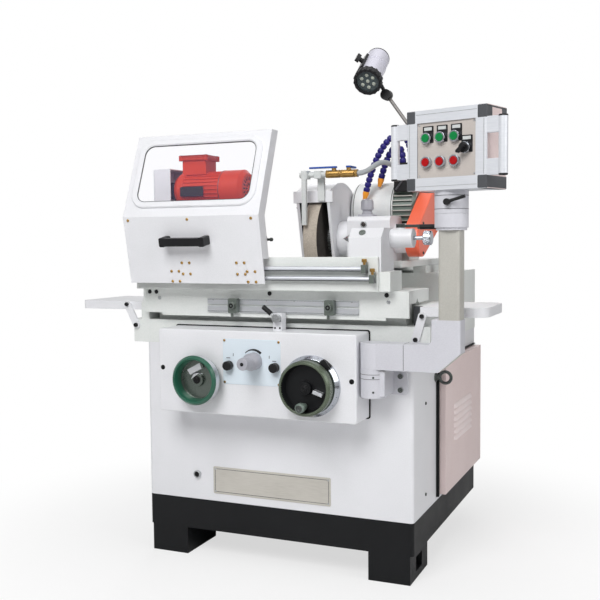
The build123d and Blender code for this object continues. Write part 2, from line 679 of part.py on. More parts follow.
# Lower table: plate on the ways with a front skirt and the dog rail
table_front = FRONT - TABLE_FRONT
skirt_z0 = WAY_TOP - SKIRT_DROP
rail_z0 = skirt_z0 + RAIL_LOW
slot_z = rail_z0 + RAIL_H / 2 + 1
with BuildPart() as lower_table:
    block(-TABLE_X, TABLE_X, table_front, FRONT + TABLE_BACK, WAY_TOP, TABLE_TOP)
    block(-TABLE_X, TABLE_X, table_front, table_front + SKIRT_T, skirt_z0 + SKIRT_STEP, WAY_TOP + 1)
    block(-SKIRT_X, SKIRT_X, table_front, table_front + SKIRT_T, skirt_z0, WAY_TOP)
    block(RAIL_X0, RAIL_X1, table_front - RAIL_T, table_front + 1, rail_z0, rail_z0 + RAIL_H)
    block(RAIL_X0, RAIL_X1, table_front - RAIL_T, table_front, slot_z - SLOT_H / 2, slot_z + SLOT_H / 2,
          mode=Mode.SUBTRACT)
    with BuildSketch(Plane.YZ.offset(-TABLE_X)):
        with BuildLine():
            Polyline((FRONT + VEE_Y - VEE_H, WAY_TOP), (FRONT + VEE_Y, WAY_TOP + VEE_H),
                     (FRONT + VEE_Y + VEE_H, WAY_TOP), close=True)
        make_face()
    extrude(amount=2 * TABLE_X, mode=Mode.SUBTRACT)
    rod_z(0, FRONT, TABLE_TOP - PIVOT_L - 1, TABLE_TOP + 1, PIVOT_R + RUN, mode=Mode.SUBTRACT)
lower_table.part.label = "lower_table"
export_step(lower_table.part, "parts/lower_table.step")

# Stop dogs: blocks keyed into the rail slot, each with a clamp screw and a trip pin
dog_back = table_front - RAIL_T - GAP
with BuildPart() as stop_dog_left:
    block(DOG_X0 - DOG_W / 2, DOG_X0 + DOG_W / 2, dog_back - DOG_T, dog_back, rail_z0 - 2, rail_z0 + RAIL_H + 2)
    fillet(stop_dog_left.edges().filter_by(Axis.Y), 4)
    block(DOG_X0 - 10, DOG_X0 + 10, dog_back - 1, dog_back + 4, slot_z - SLOT_H / 2 + GAP,
          slot_z + SLOT_H / 2 - GAP)
    rod_y(DOG_X0, dog_back - DOG_T - 9, dog_back - DOG_T + 1, slot_z, 11)
    rod_z(DOG_X0 - 6, dog_back - DOG_T / 2, skirt_z0 + 1, rail_z0, 4)
stop_dog_left.part.label = "stop_dog_left"
export_step(stop_dog_left.part, "parts/stop_dog_left.step")

with BuildPart() as stop_dog_right:
    block(DOG_X1 - DOG_W / 2, DOG_X1 + DOG_W / 2, dog_back - DOG_T, dog_back, rail_z0 - 2, rail_z0 + RAIL_H + 2)
    fillet(stop_dog_right.edges().filter_by(Axis.Y), 4)
    block(DOG_X1 - 10, DOG_X1 + 10, dog_back - 1, dog_back + 4, slot_z - SLOT_H / 2 + GAP,
          slot_z + SLOT_H / 2 - GAP)
    rod_y(DOG_X1, dog_back - DOG_T - 9, dog_back - DOG_T + 1, slot_z, 11)
    rod_z(DOG_X1 - 6, dog_back - DOG_T / 2, skirt_z0 + 1, rail_z0, 4)
stop_dog_right.part.label = "stop_dog_right"
export_step(stop_dog_right.part, "parts/stop_dog_right.step")

# Swivel table: slab on a pivot pin, with an upright plate along the front
swivel_front = FRONT - SWIVEL_FRONT
plate_front = swivel_front - PLATE_T
swivel_z0 = TABLE_TOP + SLIDE
with BuildPart() as swivel_table:
    block(SWIVEL_X0, SWIVEL_X1, swivel_front, FRONT + SWIVEL_BACK, swivel_z0, SWIVEL_TOP)
    block(SWIVEL_X0, PLATE_X1, plate_front, swivel_front + 1, swivel_z0, SWIVEL_TOP + PLATE_RISE)
    chamfer(swivel_table.edges().filter_by(Axis.X).sort_by(Axis.Z)[-1], 2)
    rod_z(0, FRONT, TABLE_TOP - PIVOT_L, swivel_z0 + 1, PIVOT_R)
swivel_table.part.label = "swivel_table"
export_step(swivel_table.part, "parts/swivel_table.step")

# Guide rails: two rods on feet in front of the plate
rod_y0 = plate_front - ROD_OUT
high_z = TABLE_TOP + ROD_HIGH
low_z = TABLE_TOP + ROD_LOW
with BuildPart() as guide_rails:
    for rail_z, rail_x1 in ((high_z, ROD_HIGH_X1), (low_z, ROD_LOW_X1)):
        rod_x(HOOD_X0 + 4, rail_x1, rod_y0, rail_z, ROD_R)
        for foot_x in (HOOD_X0 + 4, rail_x1 - ROD_FOOT):
            block(foot_x, foot_x + ROD_FOOT, rod_y0 - 10, plate_front, rail_z - 12, rail_z + 12)
guide_rails.part.label = "guide_rails"
export_step(guide_rails.part, "parts/guide_rails.step")

# Splash hood: bent sheet with side flanges, running on the rails by four bearing blocks
hood_low = (FRONT - HOOD_LOW_OUT, TABLE_TOP + HOOD_LOW_Z)
hood_mid = (FRONT - HOOD_MID_OUT, TABLE_TOP + HOOD_MID_Z)
hood_top = (FRONT - HOOD_TOP_OUT, TABLE_TOP + HOOD_TOP_Z)
lean = (hood_mid[0] - hood_low[0]) / (hood_mid[1] - hood_low[1])
slope = (hood_top[0] - hood_mid[0]) / (hood_top[1] - hood_mid[1])
flange_z = high_z + 30
slope_len = math.hypot(hood_top[0] - hood_mid[0], hood_top[1] - hood_mid[1])
slope_u = ((hood_top[0] - hood_mid[0]) / slope_len, (hood_top[1] - hood_mid[1]) / slope_len)
window_plane = Plane(
    (WINDOW_X, hood_mid[0] + slope_u[0] * WINDOW_UP, hood_mid[1] + slope_u[1] * WINDOW_UP),
    x_dir=(1, 0, 0),
    z_dir=(0, -slope_u[1], slope_u[0]),
)


def lower_face(z):
    """Depth of the inner face of the lower hood panel at a height."""
    return hood_low[0] + lean * (z - hood_low[1]) + HOOD_T


with BuildPart() as hood_shell:
    with BuildSketch(Plane.YZ.offset(HOOD_X0)):
        with BuildLine():
            Polyline(hood_low, hood_mid, hood_top, (hood_top[0] + HOOD_FLANGE, hood_top[1]),
                     (hood_mid[0] + HOOD_FLANGE, hood_mid[1]), (hood_low[0] + HOOD_FLANGE, hood_low[1]),
                     close=True)
        make_face()
    extrude(amount=HOOD_X1 - HOOD_X0)
    with BuildSketch(Plane.YZ.offset(HOOD_X0 + HOOD_T)):
        with BuildLine():
            Polyline((lower_face(hood_low[1] - 5), hood_low[1] - 5), (hood_mid[0] + HOOD_T, hood_mid[1]),
                     (hood_top[0] + HOOD_T + slope * -HOOD_T, hood_top[1] - HOOD_T),
                     (hood_top[0] + 90, hood_top[1] - HOOD_T), (hood_low[0] + 90, hood_low[1] - 5), close=True)
        make_face()
    extrude(amount=HOOD_X1 - HOOD_X0 - 2 * HOOD_T, mode=Mode.SUBTRACT)
    with BuildSketch(Plane.YZ.offset(HOOD_X0 - 1)):
        with BuildLine():
            Polyline((lower_face(hood_low[1] - 5), hood_low[1] - 5), (lower_face(flange_z), flange_z),
                     (hood_low[0] + 90, flange_z), (hood_low[0] + 90, hood_low[1] - 5), close=True)
        make_face()
    extrude(amount=HOOD_X1 - HOOD_X0 + 2, mode=Mode.SUBTRACT)
    with BuildSketch(window_plane):
        RectangleRounded(WINDOW_W, WINDOW_H, WINDOW_R)
    extrude(amount=10, both=True, mode=Mode.SUBTRACT)
    for block_x, rail_z in ((-235, high_z), (-48, high_z), (-275, low_z), (-15, low_z)):
        z0 = max(rail_z - BEARING_H / 2, hood_low[1])
        z1 = rail_z + BEARING_H / 2
        with BuildSketch(Plane.YZ.offset(block_x - BEARING_W / 2)):
            with BuildLine():
                Polyline((lower_face(z0) - 1, z0), (lower_face(z1) - 1, z1), (plate_front - 3, z1),
                         (plate_front - 3, z0), close=True)
            make_face()
        extrude(amount=BEARING_W)
    for rail_z in (high_z, low_z):
        rod_x(HOOD_X0, HOOD_X1, rod_y0, rail_z, ROD_R + RUN, mode=Mode.SUBTRACT)
hood_shell.part.label = "hood_shell"
export_step(hood_shell.part, "parts/hood_shell.step")

# Hood window: pane filling the opening
with BuildPart() as hood_window:
    with BuildSketch(window_plane):
        RectangleRounded(WINDOW_W, WINDOW_H, WINDOW_R)
    extrude(amount=-HOOD_T)
hood_window.part.label = "hood_window"
export_step(hood_window.part, "parts/hood_window.step")

# Hood handle: bar on two feet on the lower panel
handle_z = TABLE_TOP + HANDLE_Z
lean_len = math.hypot(1, lean)
handle_plane = Plane(
    (HANDLE_X, hood_low[0] + lean * (handle_z - hood_low[1]), handle_z),
    x_dir=(1, 0, 0),
    z_dir=(0, -1 / lean_len, lean / lean_len),
)
with BuildPart() as hood_handle:
    with BuildSketch(handle_plane):
        with GridLocations(HANDLE_W - 20, 0, 2, 1):
            RectangleRounded(20, 28, 5)
    extrude(amount=HANDLE_OUT)
    with BuildSketch(handle_plane.offset(HANDLE_OUT - 16)):
        RectangleRounded(HANDLE_W, 24, 8)
    extrude(amount=16)
hood_handle.part.label = "hood_handle"
export_step(hood_handle.part, "parts/hood_handle.step")

# Workhead: housing bored for the spindle, with the belt cover on its left end
head_top = WORK_Z + HEAD_RISE
work_motor_z = WORK_Z + WM_RISE
cover_x0 = HEAD_X0 - COVER_L
cover_z0 = SWIVEL_TOP + 20
with BuildPart() as workhead:
    block(HEAD_X0, HEAD_X1, WORK_Y - HEAD_FRONT, WORK_Y + HEAD_BACK, SWIVEL_TOP, head_top)
    fillet(workhead.edges().filter_by(Axis.X).sort_by(Axis.Z)[-2:], 14)
    rod_x(HEAD_X1 - 1, HEAD_X1 + 14, WORK_Y, WORK_Z, SPINDLE_R + 7)
    block(cover_x0, HEAD_X0 + 1, WORK_Y - 75, WORK_Y + 58, cover_z0, cover_z0 + COVER_H)
    fillet(workhead.faces().sort_by(Axis.X)[0].edges(), 10)
    block(cover_x0 + COVER_T, HEAD_X0, WORK_Y - 75 + COVER_T, WORK_Y + 58 - COVER_T, cover_z0 + COVER_T,
          cover_z0 + COVER_H - COVER_T, mode=Mode.SUBTRACT)
    block(HEAD_X0 - 1, HEAD_X0 + 1, WORK_Y - 75, WORK_Y + 58, head_top, cover_z0 + COVER_H, mode=Mode.SUBTRACT)
    rod_x(HEAD_X0 - 1, HEAD_X1 + 15, WORK_Y, WORK_Z, SPINDLE_R + RUN, mode=Mode.SUBTRACT)
workhead.part.label = "workhead"
export_step(workhead.part, "parts/workhead.step")

# Workhead motor: barrel with terminal box and feet
with BuildPart() as workhead_motor:
    with BuildSketch(Plane((0, WM_Y, work_motor_z), x_dir=(1, 0, 0), z_dir=(0, -1, 0))):
        with BuildLine():
            Polyline((HEAD_X0 + 2, 0), (HEAD_X0 + 2, WM_R - 12), (HEAD_X0 + 16, WM_R - 2),
                     (HEAD_X0 + 36, WM_R - 2), (HEAD_X0 + 38, WM_R - 5), (WM_X1 - 84, WM_R - 5),
                     (WM_X1 - 82, WM_R), (WM_X1 - 12, WM_R), (WM_X1, WM_R - 12), (WM_X1, 0), close=True)
        make_face()
    revolve(axis=Axis((0, WM_Y, work_motor_z), (1, 0, 0)))
    with BuildSketch(Plane.YZ.offset(HEAD_X0 + 37)):
        with Locations((WM_Y, work_motor_z)):
            with PolarLocations(WM_R - 5, WM_FINS):
                Rectangle(6, WM_FIN_T)
    extrude(amount=WM_X1 - 83 - HEAD_X0 - 37)
    block(WM_BOX_X0, WM_BOX_X0 + WM_BOX_W, WM_Y - WM_BOX_D / 2, WM_Y + WM_BOX_D / 2,
          work_motor_z + WM_R - 12, work_motor_z + WM_R + WM_BOX_H)
    block(-300, -190, WM_Y - 45, WM_Y + 45, head_top, work_motor_z - WM_R + 25)
    rod_x(HEAD_X0, HEAD_X0 + 60, WM_Y, work_motor_z, WM_SHAFT_R + RUN, mode=Mode.SUBTRACT)
workhead_motor.part.label = "workhead_motor"
export_step(workhead_motor.part, "parts/workhead_motor.step")

# Work spindle: pulley, shaft, nose and centre in one turning
pulley_x = HEAD_X0 - 45
with BuildPart() as work_spindle:
    with BuildSketch(Plane((0, WORK_Y, WORK_Z), x_dir=(1, 0, 0), z_dir=(0, -1, 0))):
        with BuildLine():
            Polyline((pulley_x, 0), (pulley_x, WORK_PULLEY_R), (pulley_x + PULLEY_W, WORK_PULLEY_R),
                     (pulley_x + PULLEY_W, SPINDLE_R), (HEAD_X1 + 16, SPINDLE_R), (HEAD_X1 + 16, SPINDLE_R + 6),
                     (HEAD_X1 + 28, SPINDLE_R + 6), (HEAD_X1 + 28, 15), (NOSE_X, 14), (NOSE_X, 13),
                     (NOSE_X + 4, 13), (NOSE_X + 4, 4), (NOSE_X + 21, 4), (NOSE_X + 21, 6), (NOSE_X + 27, 5.5),
                     (NOSE_X + 29, 3), (NOSE_X + 29, 0), close=True)
        make_face()
    revolve(axis=Axis((0, WORK_Y, WORK_Z), (1, 0, 0)))
work_spindle.part.label = "work_spindle"
export_step(work_spindle.part, "parts/work_spindle.step")

# Pulley on the workhead motor shaft
with BuildPart() as work_motor_pulley:
    rod_x(pulley_x, pulley_x + PULLEY_W, WM_Y, work_motor_z, WORK_DRIVE_R)
    rod_x(pulley_x + 1, HEAD_X0 + 58, WM_Y, work_motor_z, WM_SHAFT_R)
work_motor_pulley.part.label = "work_motor_pulley"
export_step(work_motor_pulley.part, "parts/work_motor_pulley.step")

# Workhead belt: flat loop round both pulleys
with BuildPart() as workhead_belt:
    with BuildSketch(Plane.YZ.offset(pulley_x + 2)):
        with BuildSketch(mode=Mode.PRIVATE) as outer_loop:
            with Locations((WORK_Y, WORK_Z)):
                Circle(WORK_PULLEY_R + GAP + BELT_T)
            with Locations((WM_Y, work_motor_z)):
                Circle(WORK_DRIVE_R + GAP + BELT_T)
            make_hull()
        with BuildSketch(mode=Mode.PRIVATE) as inner_loop:
            with Locations((WORK_Y, WORK_Z)):
                Circle(WORK_PULLEY_R + GAP)
            with Locations((WM_Y, work_motor_z)):
                Circle(WORK_DRIVE_R + GAP)
            make_hull()
        add(outer_loop.sketch)
        add(inner_loop.sketch, mode=Mode.SUBTRACT)
    extrude(amount=PULLEY_W - 4)
workhead_belt.part.label = "workhead_belt"
export_step(workhead_belt.part, "parts/workhead_belt.step")

# Tailstock: body with a sloped front, barrel and lever boss
tail_z0 = SWIVEL_TOP + SLIDE
tail_top = WORK_Z + TAIL_RISE
with BuildPart() as tailstock_body:
    with BuildSketch(Plane.YZ.offset(TAIL_X0)):
        with BuildLine():
            Polyline((WORK_Y - TAIL_FRONT, tail_z0), (WORK_Y - TAIL_FRONT, tail_top - TAIL_CHAMFER),
                     (WORK_Y - TAIL_FRONT + TAIL_CHAMFER, tail_top), (WORK_Y + TAIL_BACK - 8, tail_top),
                     (WORK_Y + TAIL_BACK, tail_top - 8), (WORK_Y + TAIL_BACK, tail_z0), close=True)
        make_face()
    extrude(amount=TAIL_X1 - TAIL_X0)
    rod_x(TAIL_X1 - 1, BARREL_X1, WORK_Y, WORK_Z, BARREL_R)
    rod_z(TAIL_PIVOT_X, WORK_Y, WORK_Z + QUILL_R + 4, tail_top, 13)
    rod_x(TAIL_X0 - 1, BARREL_X1 - 8, WORK_Y, WORK_Z, QUILL_R + RUN, mode=Mode.SUBTRACT)
    rod_x(BARREL_X1 - 9, BARREL_X1 + 1, WORK_Y, WORK_Z, TAIL_SHAFT_R + RUN, mode=Mode.SUBTRACT)
    rod_z(TAIL_PIVOT_X, WORK_Y, tail_top - 9, tail_top + 1, TAIL_PIN_R + RUN, mode=Mode.SUBTRACT)
tailstock_body.part.label = "tailstock_body"
export_step(tailstock_body.part, "parts/tailstock_body.step")

# Quill with a pointed centre
with BuildPart() as tailstock_quill:
    with BuildSketch(Plane((0, WORK_Y, WORK_Z), x_dir=(1, 0, 0), z_dir=(0, -1, 0))):
        with BuildLine():
            Polyline((CENTRE_TIP, 0), (CENTRE_TIP + 20, 12), (CENTRE_TIP + 26, 12), (CENTRE_TIP + 27, QUILL_R),
                     (BARREL_X1 - 10 - QUILL_STROKE, QUILL_R), (BARREL_X1 - 10 - QUILL_STROKE, 0), close=True)
        make_face()
    revolve(axis=Axis((0, WORK_Y, WORK_Z), (1, 0, 0)))
tailstock_quill.part.label = "tailstock_quill"
export_step(tailstock_quill.part, "parts/tailstock_quill.step")

# Quill lever: hub on a pin, arm and dropped grip
with BuildPart() as tailstock_lever:
    lever_low = tail_top + GAP
    rod_z(TAIL_PIVOT_X, WORK_Y, lever_low, lever_low + 11, 13)
    rod_z(TAIL_PIVOT_X, WORK_Y, tail_top - 8, lever_low + 1, TAIL_PIN_R)
    block(TAIL_PIVOT_X, TAIL_PIVOT_X + 60, WORK_Y - 5, WORK_Y + 5, lever_low, lever_low + 9)
    block(TAIL_PIVOT_X + 52, TAIL_PIVOT_X + 60, WORK_Y - 5, WORK_Y + 5, tail_top - 4, lever_low + 9)
    rod_x(TAIL_PIVOT_X + 59, TAIL_PIVOT_X + 109, WORK_Y, tail_top + 2, 7.5)
    fillet(tailstock_lever.faces().sort_by(Axis.X)[-1].edges(), 4)
tailstock_lever.part.label = "tailstock_lever"
export_step(tailstock_lever.part, "parts/tailstock_lever.step")

# Tension knob at the end of the barrel
with BuildPart() as tailstock_knob:
    rod_x(BARREL_X1 + 30, BARREL_X1 + 54, WORK_Y, WORK_Z, TAIL_KNOB_R)
    fillet(tailstock_knob.edges(), 3)
    rod_x(BARREL_X1 - 7, BARREL_X1 + 31, WORK_Y, WORK_Z, TAIL_SHAFT_R)
tailstock_knob.part.label = "tailstock_knob"
export_step(tailstock_knob.part, "parts/tailstock_knob.step")

# Wheel slide: plate on the cross ways with the motor stand
slide_z0 = cross_top + SLIDE
slide_top = slide_z0 + SLIDE_T
stand_top = slide_top + STAND_H
grind_motor_z = WORK_Z + GM_RISE
with BuildPart() as wheel_slide:
    block(SLIDE_X0, SLIDE_X1, SLIDE_Y0, SLIDE_Y1, slide_z0, slide_top)
    fillet(wheel_slide.edges().filter_by(Axis.Z), 8)
    block(GM_X0 + 38, GM_X1 - 25, GM_Y - GM_FOOT_W / 2 - 5, GM_Y + GM_FOOT_W / 2 + 5, slide_top - 1, stand_top)
wheel_slide.part.label = "wheel_slide"
export_step(wheel_slide.part, "parts/wheel_slide.step")

# Spindle housing: block with a round cap on the left and a bearing nose on the right
with BuildPart() as spindle_housing:
    block(HOUSE_X0, HOUSE_X1, WHEEL_Y - HOUSE_FRONT, WHEEL_Y + HOUSE_BACK, slide_top, WORK_Z + HOUSE_RISE)
    fillet(spindle_housing.edges().filter_by(Axis.X).sort_by(Axis.Z)[-2:], 16)
    rod_x(GUARD_X1, HOUSE_X0 + 1, WHEEL_Y, WORK_Z, CAP_R)
    rod_x(HOUSE_X1 - 1, HOUSE_END, WHEEL_Y, WORK_Z, CAP_R - 12)
    rod_x(GUARD_X1 - 1, HOUSE_END + 1, WHEEL_Y, WORK_Z, WSP_R + RUN, mode=Mode.SUBTRACT)
spindle_housing.part.label = "spindle_housing"
export_step(spindle_housing.part, "parts/spindle_housing.step")

# Wheel guard: box round the wheel, open at the front and below, with a front lip
guard_in = WHEEL_R + GUARD_GAP
guard_out = guard_in + GUARD_WALL
guard_low = WORK_Z - 60
lip_z0 = WORK_Z + LIP_RISE
lip_y0 = WHEEL_Y - 114
with BuildPart() as wheel_guard:
    with BuildSketch(Plane.YZ.offset(GUARD_X0)):
        with Locations((WHEEL_Y, WORK_Z)):
            Circle(guard_out)
        with BuildLine():
            Polyline((lip_y0, lip_z0), (lip_y0, lip_z0 + LIP_H), (WHEEL_Y - 40, WORK_Z + guard_out - 3),
                     (WHEEL_Y, WORK_Z + guard_out - 3), (WHEEL_Y, lip_z0), close=True)
        make_face()
        with BuildLine():
            Polyline((WHEEL_Y - 300, lip_z0), (lip_y0 + 2, lip_z0), (lip_y0 + 45, guard_low),
                     (lip_y0 + 45, WORK_Z - 300), (WHEEL_Y - 300, WORK_Z - 300), close=True)
        make_face(mode=Mode.SUBTRACT)
        with Locations((WHEEL_Y, guard_low - 200)):
            Rectangle(4 * WHEEL_R, 400, mode=Mode.SUBTRACT)
        with BuildLine():
            Polyline((WHEEL_Y - 300, lip_z0), (WHEEL_Y - 300, WORK_Z + 300), (lip_y0, WORK_Z + 300),
                     (lip_y0, lip_z0), close=True)
        make_face(mode=Mode.SUBTRACT)
    extrude(amount=GUARD_X1 - GUARD_X0)
    with BuildSketch(Plane.YZ.offset(GUARD_X0 + GUARD_WALL)):
        with Locations((WHEEL_Y, WORK_Z)):
            Circle(guard_in)
        with Locations((WHEEL_Y - 150, lip_z0 - 150)):
            Rectangle(300, 300)
        with Locations((WHEEL_Y, WORK_Z - 150)):
            Rectangle(2 * guard_in, 300)
    extrude(amount=GUARD_X1 - GUARD_X0 - 2 * GUARD_WALL, mode=Mode.SUBTRACT)
    lip_mid = (GUARD_X0 + GUARD_X1) / 2
    block(lip_mid - LIP_W / 2, lip_mid + LIP_W / 2, lip_y0, lip_y0 + LIP_T, lip_z0, lip_z0 + LIP_H)
    rod_x(GUARD_X1 - GUARD_WALL - 1, GUARD_X1 + 1, WHEEL_Y, WORK_Z, WSP_R + 5, mode=Mode.SUBTRACT)
wheel_guard.part.label = "wheel_guard"
export_step(wheel_guard.part, "parts/wheel_guard.step")

# Grinding wheel
wheel_x1 = WHEEL_X0 + WHEEL_W
with BuildPart() as grinding_wheel:
    with BuildSketch(Plane.YZ.offset(WHEEL_X0)):
        with Locations((WHEEL_Y, WORK_Z)):
            Circle(WHEEL_R)
            Circle(WHEEL_BORE_R, mode=Mode.SUBTRACT)
    extrude(amount=WHEEL_W)
    fillet(grinding_wheel.edges().filter_by(GeomType.CIRCLE).sort_by(SortBy.LENGTH)[-2:], 1.5)
grinding_wheel.part.label = "grinding_wheel"
export_step(grinding_wheel.part, "parts/grinding_wheel.step")

# Wheel spindle: nut, flanges, hub, shaft and pulley in one turning
drive_x1 = DRIVE_X + DRIVE_W
with BuildPart() as wheel_spindle:
    with BuildSketch(Plane((0, WHEEL_Y, WORK_Z), x_dir=(1, 0, 0), z_dir=(0, -1, 0))):
        with BuildLine():
            Polyline((WHEEL_X0 - 22, 0), (WHEEL_X0 - 22, 18), (WHEEL_X0 - 12, 18), (WHEEL_X0 - 12, FLANGE_R - 6),
                     (WHEEL_X0 - 6, FLANGE_R), (WHEEL_X0, FLANGE_R), (WHEEL_X0, WHEEL_BORE_R),
                     (wheel_x1, WHEEL_BORE_R), (wheel_x1, FLANGE_R), (wheel_x1 + 6, FLANGE_R),
                     (wheel_x1 + 12, FLANGE_R - 6), (wheel_x1 + 12, WSP_R), (DRIVE_X, WSP_R),
                     (DRIVE_X, SPINDLE_PULLEY_R), (drive_x1, SPINDLE_PULLEY_R), (drive_x1, 0), close=True)
        make_face()
    revolve(axis=Axis((0, WHEEL_Y, WORK_Z), (1, 0, 0)))
wheel_spindle.part.label = "wheel_spindle"
export_step(wheel_spindle.part, "parts/wheel_spindle.step")

# Grinding motor: barrel with a finned rear half and a foot
with BuildPart() as wheel_motor:
    with BuildSketch(Plane((0, GM_Y, grind_motor_z), x_dir=(1, 0, 0), z_dir=(0, -1, 0))):
        with BuildLine():
            Polyline((GM_X0, 0), (GM_X0, GM_R - GM_EDGE), (GM_X0 + GM_EDGE, GM_R), (GM_FIN_X, GM_R),
                     (GM_FIN_X, GM_R - GM_FIN_H), (GM_X1 - 8, GM_R - GM_FIN_H), (GM_X1, GM_R - 16),
                     (GM_X1, 0), close=True)
        make_face()
    revolve(axis=Axis((0, GM_Y, grind_motor_z), (1, 0, 0)))
    with BuildSketch(Plane.YZ.offset(GM_FIN_X - 1)):
        with Locations((GM_Y, grind_motor_z)):
            with PolarLocations(GM_R - GM_FIN_H / 2 - 1, GM_FINS):
                Rectangle(GM_FIN_H + 2, GM_FIN_T)
    extrude(amount=GM_X1 - 8 - GM_FIN_X)
    block(GM_X0 + 38, GM_X1 - 25, GM_Y - GM_FOOT_W / 2, GM_Y + GM_FOOT_W / 2, stand_top, grind_motor_z - 60)
    rod_x(GM_X1 - 60, GM_X1 + 1, GM_Y, grind_motor_z, GM_SHAFT_R + RUN, mode=Mode.SUBTRACT)
wheel_motor.part.label = "wheel_motor"
export_step(wheel_motor.part, "parts/wheel_motor.step")

# Pulley on the grinding motor shaft
with BuildPart() as wheel_motor_pulley:
    rod_x(DRIVE_X, drive_x1, GM_Y, grind_motor_z, DRIVE_PULLEY_R)
    rod_x(GM_X1 - 58, DRIVE_X + 1, GM_Y, grind_motor_z, GM_SHAFT_R)
wheel_motor_pulley.part.label = "wheel_motor_pulley"
export_step(wheel_motor_pulley.part, "parts/wheel_motor_pulley.step")

# Wheel belt: flat loop round both pulleys
with BuildPart() as wheel_belt:
    with BuildSketch(Plane.YZ.offset(DRIVE_X + 2)):
        with BuildSketch(mode=Mode.PRIVATE) as outer_drive:
            with Locations((WHEEL_Y, WORK_Z)):
                Circle(SPINDLE_PULLEY_R + GAP + BELT_T)
            with Locations((GM_Y, grind_motor_z)):
                Circle(DRIVE_PULLEY_R + GAP + BELT_T)
            make_hull()
        with BuildSketch(mode=Mode.PRIVATE) as inner_drive:
            with Locations((WHEEL_Y, WORK_Z)):
                Circle(SPINDLE_PULLEY_R + GAP)
            with Locations((GM_Y, grind_motor_z)):
                Circle(DRIVE_PULLEY_R + GAP)
            make_hull()
        add(outer_drive.sketch)
        add(inner_drive.sketch, mode=Mode.SUBTRACT)
    extrude(amount=DRIVE_W - 4)
wheel_belt.part.label = "wheel_belt"
export_step(wheel_belt.part, "parts/wheel_belt.step")

# Belt guard: closed pan over both pulleys, its back plate on the spindle housing nose
with BuildPart() as belt_guard:
    with BuildSketch(Plane.YZ.offset(HOUSE_END)):
        with Locations((WHEEL_Y, WORK_Z)):
            Circle(BELT_NOSE_R)
        with Locations((GM_Y, grind_motor_z)):
            Circle(BELT_GUARD_R)
        make_hull()
    extrude(amount=BELT_GUARD_X1 - HOUSE_END)
    fillet(belt_guard.faces().sort_by(Axis.X)[-1].edges(), 5)
    with BuildSketch(Plane.YZ.offset(HOUSE_END + BELT_GUARD_T)):
        with Locations((WHEEL_Y, WORK_Z)):
            Circle(BELT_NOSE_R - BELT_GUARD_T)
        with Locations((GM_Y, grind_motor_z)):
            Circle(BELT_GUARD_R - BELT_GUARD_T)
        make_hull()
    extrude(amount=BELT_GUARD_X1 - HOUSE_END - 2 * BELT_GUARD_T, mode=Mode.SUBTRACT)
    rod_x(HOUSE_END - 1, HOUSE_END + BELT_GUARD_T + 1, WHEEL_Y, WORK_Z, WSP_R + 5, mode=Mode.SUBTRACT)
    rod_x(HOUSE_END - 1, HOUSE_END + BELT_GUARD_T + 1, GM_Y, grind_motor_z, GM_SHAFT_R + 6, mode=Mode.SUBTRACT)
belt_guard.part.label = "belt_guard"
export_step(belt_guard.part, "parts/belt_guard.step")

# Coolant pipe: flat nozzle, pipe, two valves, supply hose and the manifold on the motor
manifold_y = GM_Y - 70
manifold_top = grind_motor_z + GM_R + 57
valve_xs = (VALVE_X0 + 24, VALVE_X0 + 72)
with BuildPart() as coolant_pipe:
    rod_x(PIPE_X0, VALVE_X0, PIPE_Y, PIPE_Z, PIPE_R)
    block(PIPE_X0 + 10, PIPE_X0 + 30, PIPE_Y - 20, PIPE_Y + 10, PIPE_Z - 13, PIPE_Z + 12)
    block(PIPE_X0 + 12, PIPE_X0 + 26, PIPE_Y - 20, PIPE_Y - 8, WORK_Z + 43, PIPE_Z - 12)
    block(PIPE_X0 + 50, PIPE_X0 + 72, PIPE_Y - 10, lip_y0, PIPE_Z - 12, PIPE_Z + 11)
    block(PIPE_X0 + 50, PIPE_X0 + 72, lip_y0 - 10, lip_y0, lip_z0 + 4, PIPE_Z)
    rod_x(VALVE_X0, VALVE_X1, PIPE_Y, PIPE_Z, VALVE_R - 3)
    for valve_x in valve_xs:
        rod_x(valve_x - 19, valve_x + 19, PIPE_Y, PIPE_Z, VALVE_R)
        rod_z(valve_x, PIPE_Y, PIPE_Z, PIPE_Z + VALVE_R + 6, 7)
        rod_z(valve_x, PIPE_Y, PIPE_Z + 6, PIPE_Z + VALVE_R + 7, VALVE_STEM_R + RUN, mode=Mode.SUBTRACT)
    with BuildLine():
        hose_path = Bezier((VALVE_X1 - 4, PIPE_Y, PIPE_Z), (VALVE_X1 + 60, PIPE_Y + 10, PIPE_Z - 4),
                           (MANIFOLD_X0 - 30, manifold_y - 120, manifold_top + 40),
                           (MANIFOLD_X0 + 26, manifold_y + 4, manifold_top - 34))
    with BuildSketch(Plane(hose_path @ 0, z_dir=hose_path % 0)):
        Circle(8)
    sweep()
    block(MANIFOLD_X0, MANIFOLD_X1, manifold_y - 22, manifold_y + 34, grind_motor_z + 60, manifold_top)
    rod_x(GM_X0, MANIFOLD_X1 + 1, GM_Y, grind_motor_z, GM_R, mode=Mode.SUBTRACT)
coolant_pipe.part.label = "coolant_pipe"
export_step(coolant_pipe.part, "parts/coolant_pipe.step")

# Valve levers: each a flat bar on the valve stem
stem_top = PIPE_Z + VALVE_R + 6
with BuildPart() as valve_lever_left:
    rod_z(valve_xs[0], PIPE_Y, PIPE_Z + 8, stem_top + GAP + 1, VALVE_STEM_R)
    with BuildSketch(Plane.XY.offset(stem_top + GAP)):
        with Locations((valve_xs[0] - 36, PIPE_Y)):
            SlotOverall(92, 16)
    extrude(amount=5)
valve_lever_left.part.label = "valve_lever_left"
export_step(valve_lever_left.part, "parts/valve_lever_left.step")

